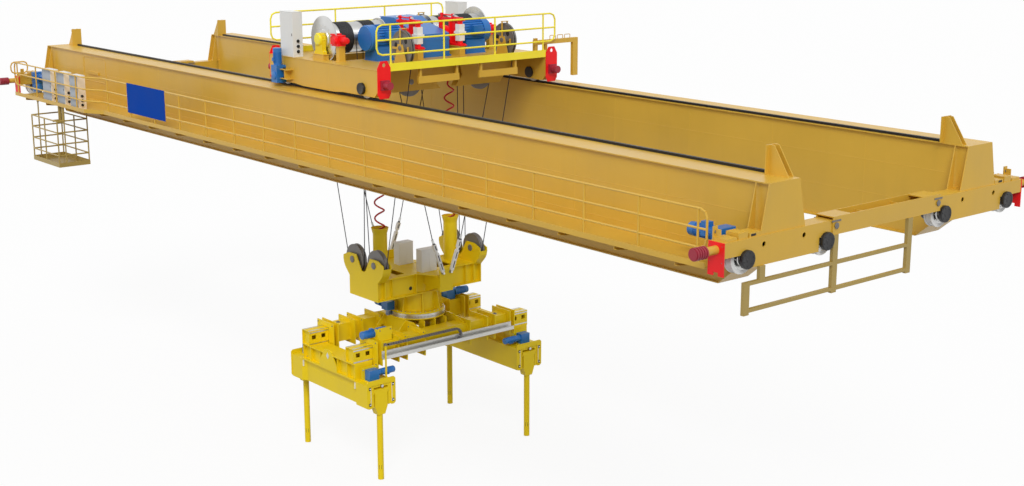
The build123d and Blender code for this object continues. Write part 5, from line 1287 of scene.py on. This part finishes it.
def spreader_details():
    """The spreader's two gearmotors with their plates, and the bolts of its frame."""
    blue, bolts, yellow = shapes(3, MIDDLE)
    x, z = 0.915, -4.42
    motor(blue, (x, -1.9, z), (x, -2.34, z), 0.092, Z, 0.25)
    for low in (-4.50, -4.36):
        blue.box((x - 0.065, x + 0.185), (-1.905, -1.615), (low, low + 0.012))
    yellow.box((x + 0.18, x + 0.20), (-1.97, -1.58), (-4.60, -4.27))
    yellow.box((x + 0.06, x + 0.20), (-1.99, -1.97), (-4.60, -4.30))
    for y in (-1.93, -1.62):
        bolts.bolt((x + 0.20, y, -4.33), X, 0.016)
    for shape in (blue, yellow, bolts):
        shape.turn_over(MIDDLE)
    piece("spreader_motor_details", blue, "blue", "spreader")
    piece("spreader_motor_plates", yellow, "yellow", "spreader")
    since = bolts.mark()
    for s in SIDES:
        for x in about(s * 0.95, 0.32):
            for z in (-4.56, -5.10):
                for y, size in ((2.17, 0.018), (1.28, 0.014), (0.73, 0.014)):
                    bolts.bolt((x, y, z), Y, size)
    bolts.mirror(1, since)
    for s in SIDES:
        bolts.button((s * 0.975, s * 1.77, -4.609), Z, 0.06, 0.05, (0, 0.012, 0.014), 24)
        bolts.bolt((s * 0.975, s * 1.77, -4.596), Z, 0.026)
    piece("spreader_bolts", bolts, "grey", "spreader")


def leg_details():
    """Dark strips of painted shade for the load pins' slots, and wear pads on the heads."""
    slots = [X * math.cos(a) + Y * math.sin(a) for a in (math.radians(-40), math.radians(140))]
    foot = [(-0.001, 0.07), (0.012, 0.0765), (0.02, 0.0765), (0.02, 0.07)]
    head = [(-0.03, 0.074), (-0.012, 0.084), (0.002, 0.086), (0.002, 0.07)]
    for label, s, f in LEGS:
        dark, yellow = shapes(2, (TROLLEY_X + s * 1.65 - 0.04, f * 2.33, 0))
        # Painted shade: dark strips where the slots are.
        for out in slots:
            dark.prism(slot_ring(out, 0.066, 0.0715, 0.03), -Z * 7.62, -Z * 7.51)
        yellow.lathe((0, 0, LEG_BOTTOM), Z, foot)
        yellow.lathe((0, 0, LEG_SHOULDER), Z, head)
        piece("leg_slot_shade_" + label, dark, "dark", label)
        piece("leg_collars_" + label, yellow, "yellow", label)


def chain_links():
    """The cable chain with its links: the lower run in the tray, the bend, and the upper run back over it."""
    shape = Shape()
    x0 = TRAY_X + 0.03
    low, high, end_y = -4.932, -4.62, 0.19
    radius = (high - low) / 2
    middle = (high + low) / 2
    pitch = 0.072
    flat = end_y + 1.2
    bend = math.pi * radius
    total = flat + bend + end_y + 1.96
    count = int(total / pitch)
    for i in range(count):
        frames = []
        for share in (0.08, 0.84):
            run = (i + share) * pitch
            if run < flat:
                frames.append((-1.2 + run, low, 0.0))
            elif run < flat + bend:
                a = (run - flat) / radius
                frames.append((end_y + radius * math.sin(a), middle - radius * math.cos(a), a))
            else:
                frames.append((end_y - (run - flat - bend), high, math.pi))
        for wide, thick in ((0.0, 0.026), (0.004, 0.016)):
            rings = []
            for y, z, a in frames:
                up = Vector((0, -math.sin(a), math.cos(a)))
                at = Vector((0, y, z))
                rings.append([at + X * (x0 - wide) - up * thick, at + X * (x0 + 0.07 + wide) - up * thick,
                              at + X * (x0 + 0.07 + wide) + up * thick, at + X * (x0 - wide) + up * thick])
            shape.loft(rings)
    shape.box((x0, x0 + 0.07), (-1.99, -1.93), (-4.66, -4.58))
    made = piece("drag_chain_links", shape, "chain", "spreader")
    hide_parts("drag_chain")


def tray_details():
    """Folded edges along the cable tray."""
    shape = Shape()
    for x0, x1, z in ((0.104, 0.130, -4.87), (0, 0.028, -4.78)):
        shape.box((TRAY_X + x0, TRAY_X + x1), (-2.03, 2.03), about(z, 0.004))
    shape.box((TRAY_X + 0.129, TRAY_X + 0.132), (-2.03, 2.03), (-4.925, -4.915))
    piece("tray_edges", shape, "alu", "spreader")


block_details()
basket_rings()
slewing_details()
slide_strips()
arm_details()
spreader_details()
leg_details()
chain_links()
tray_details()
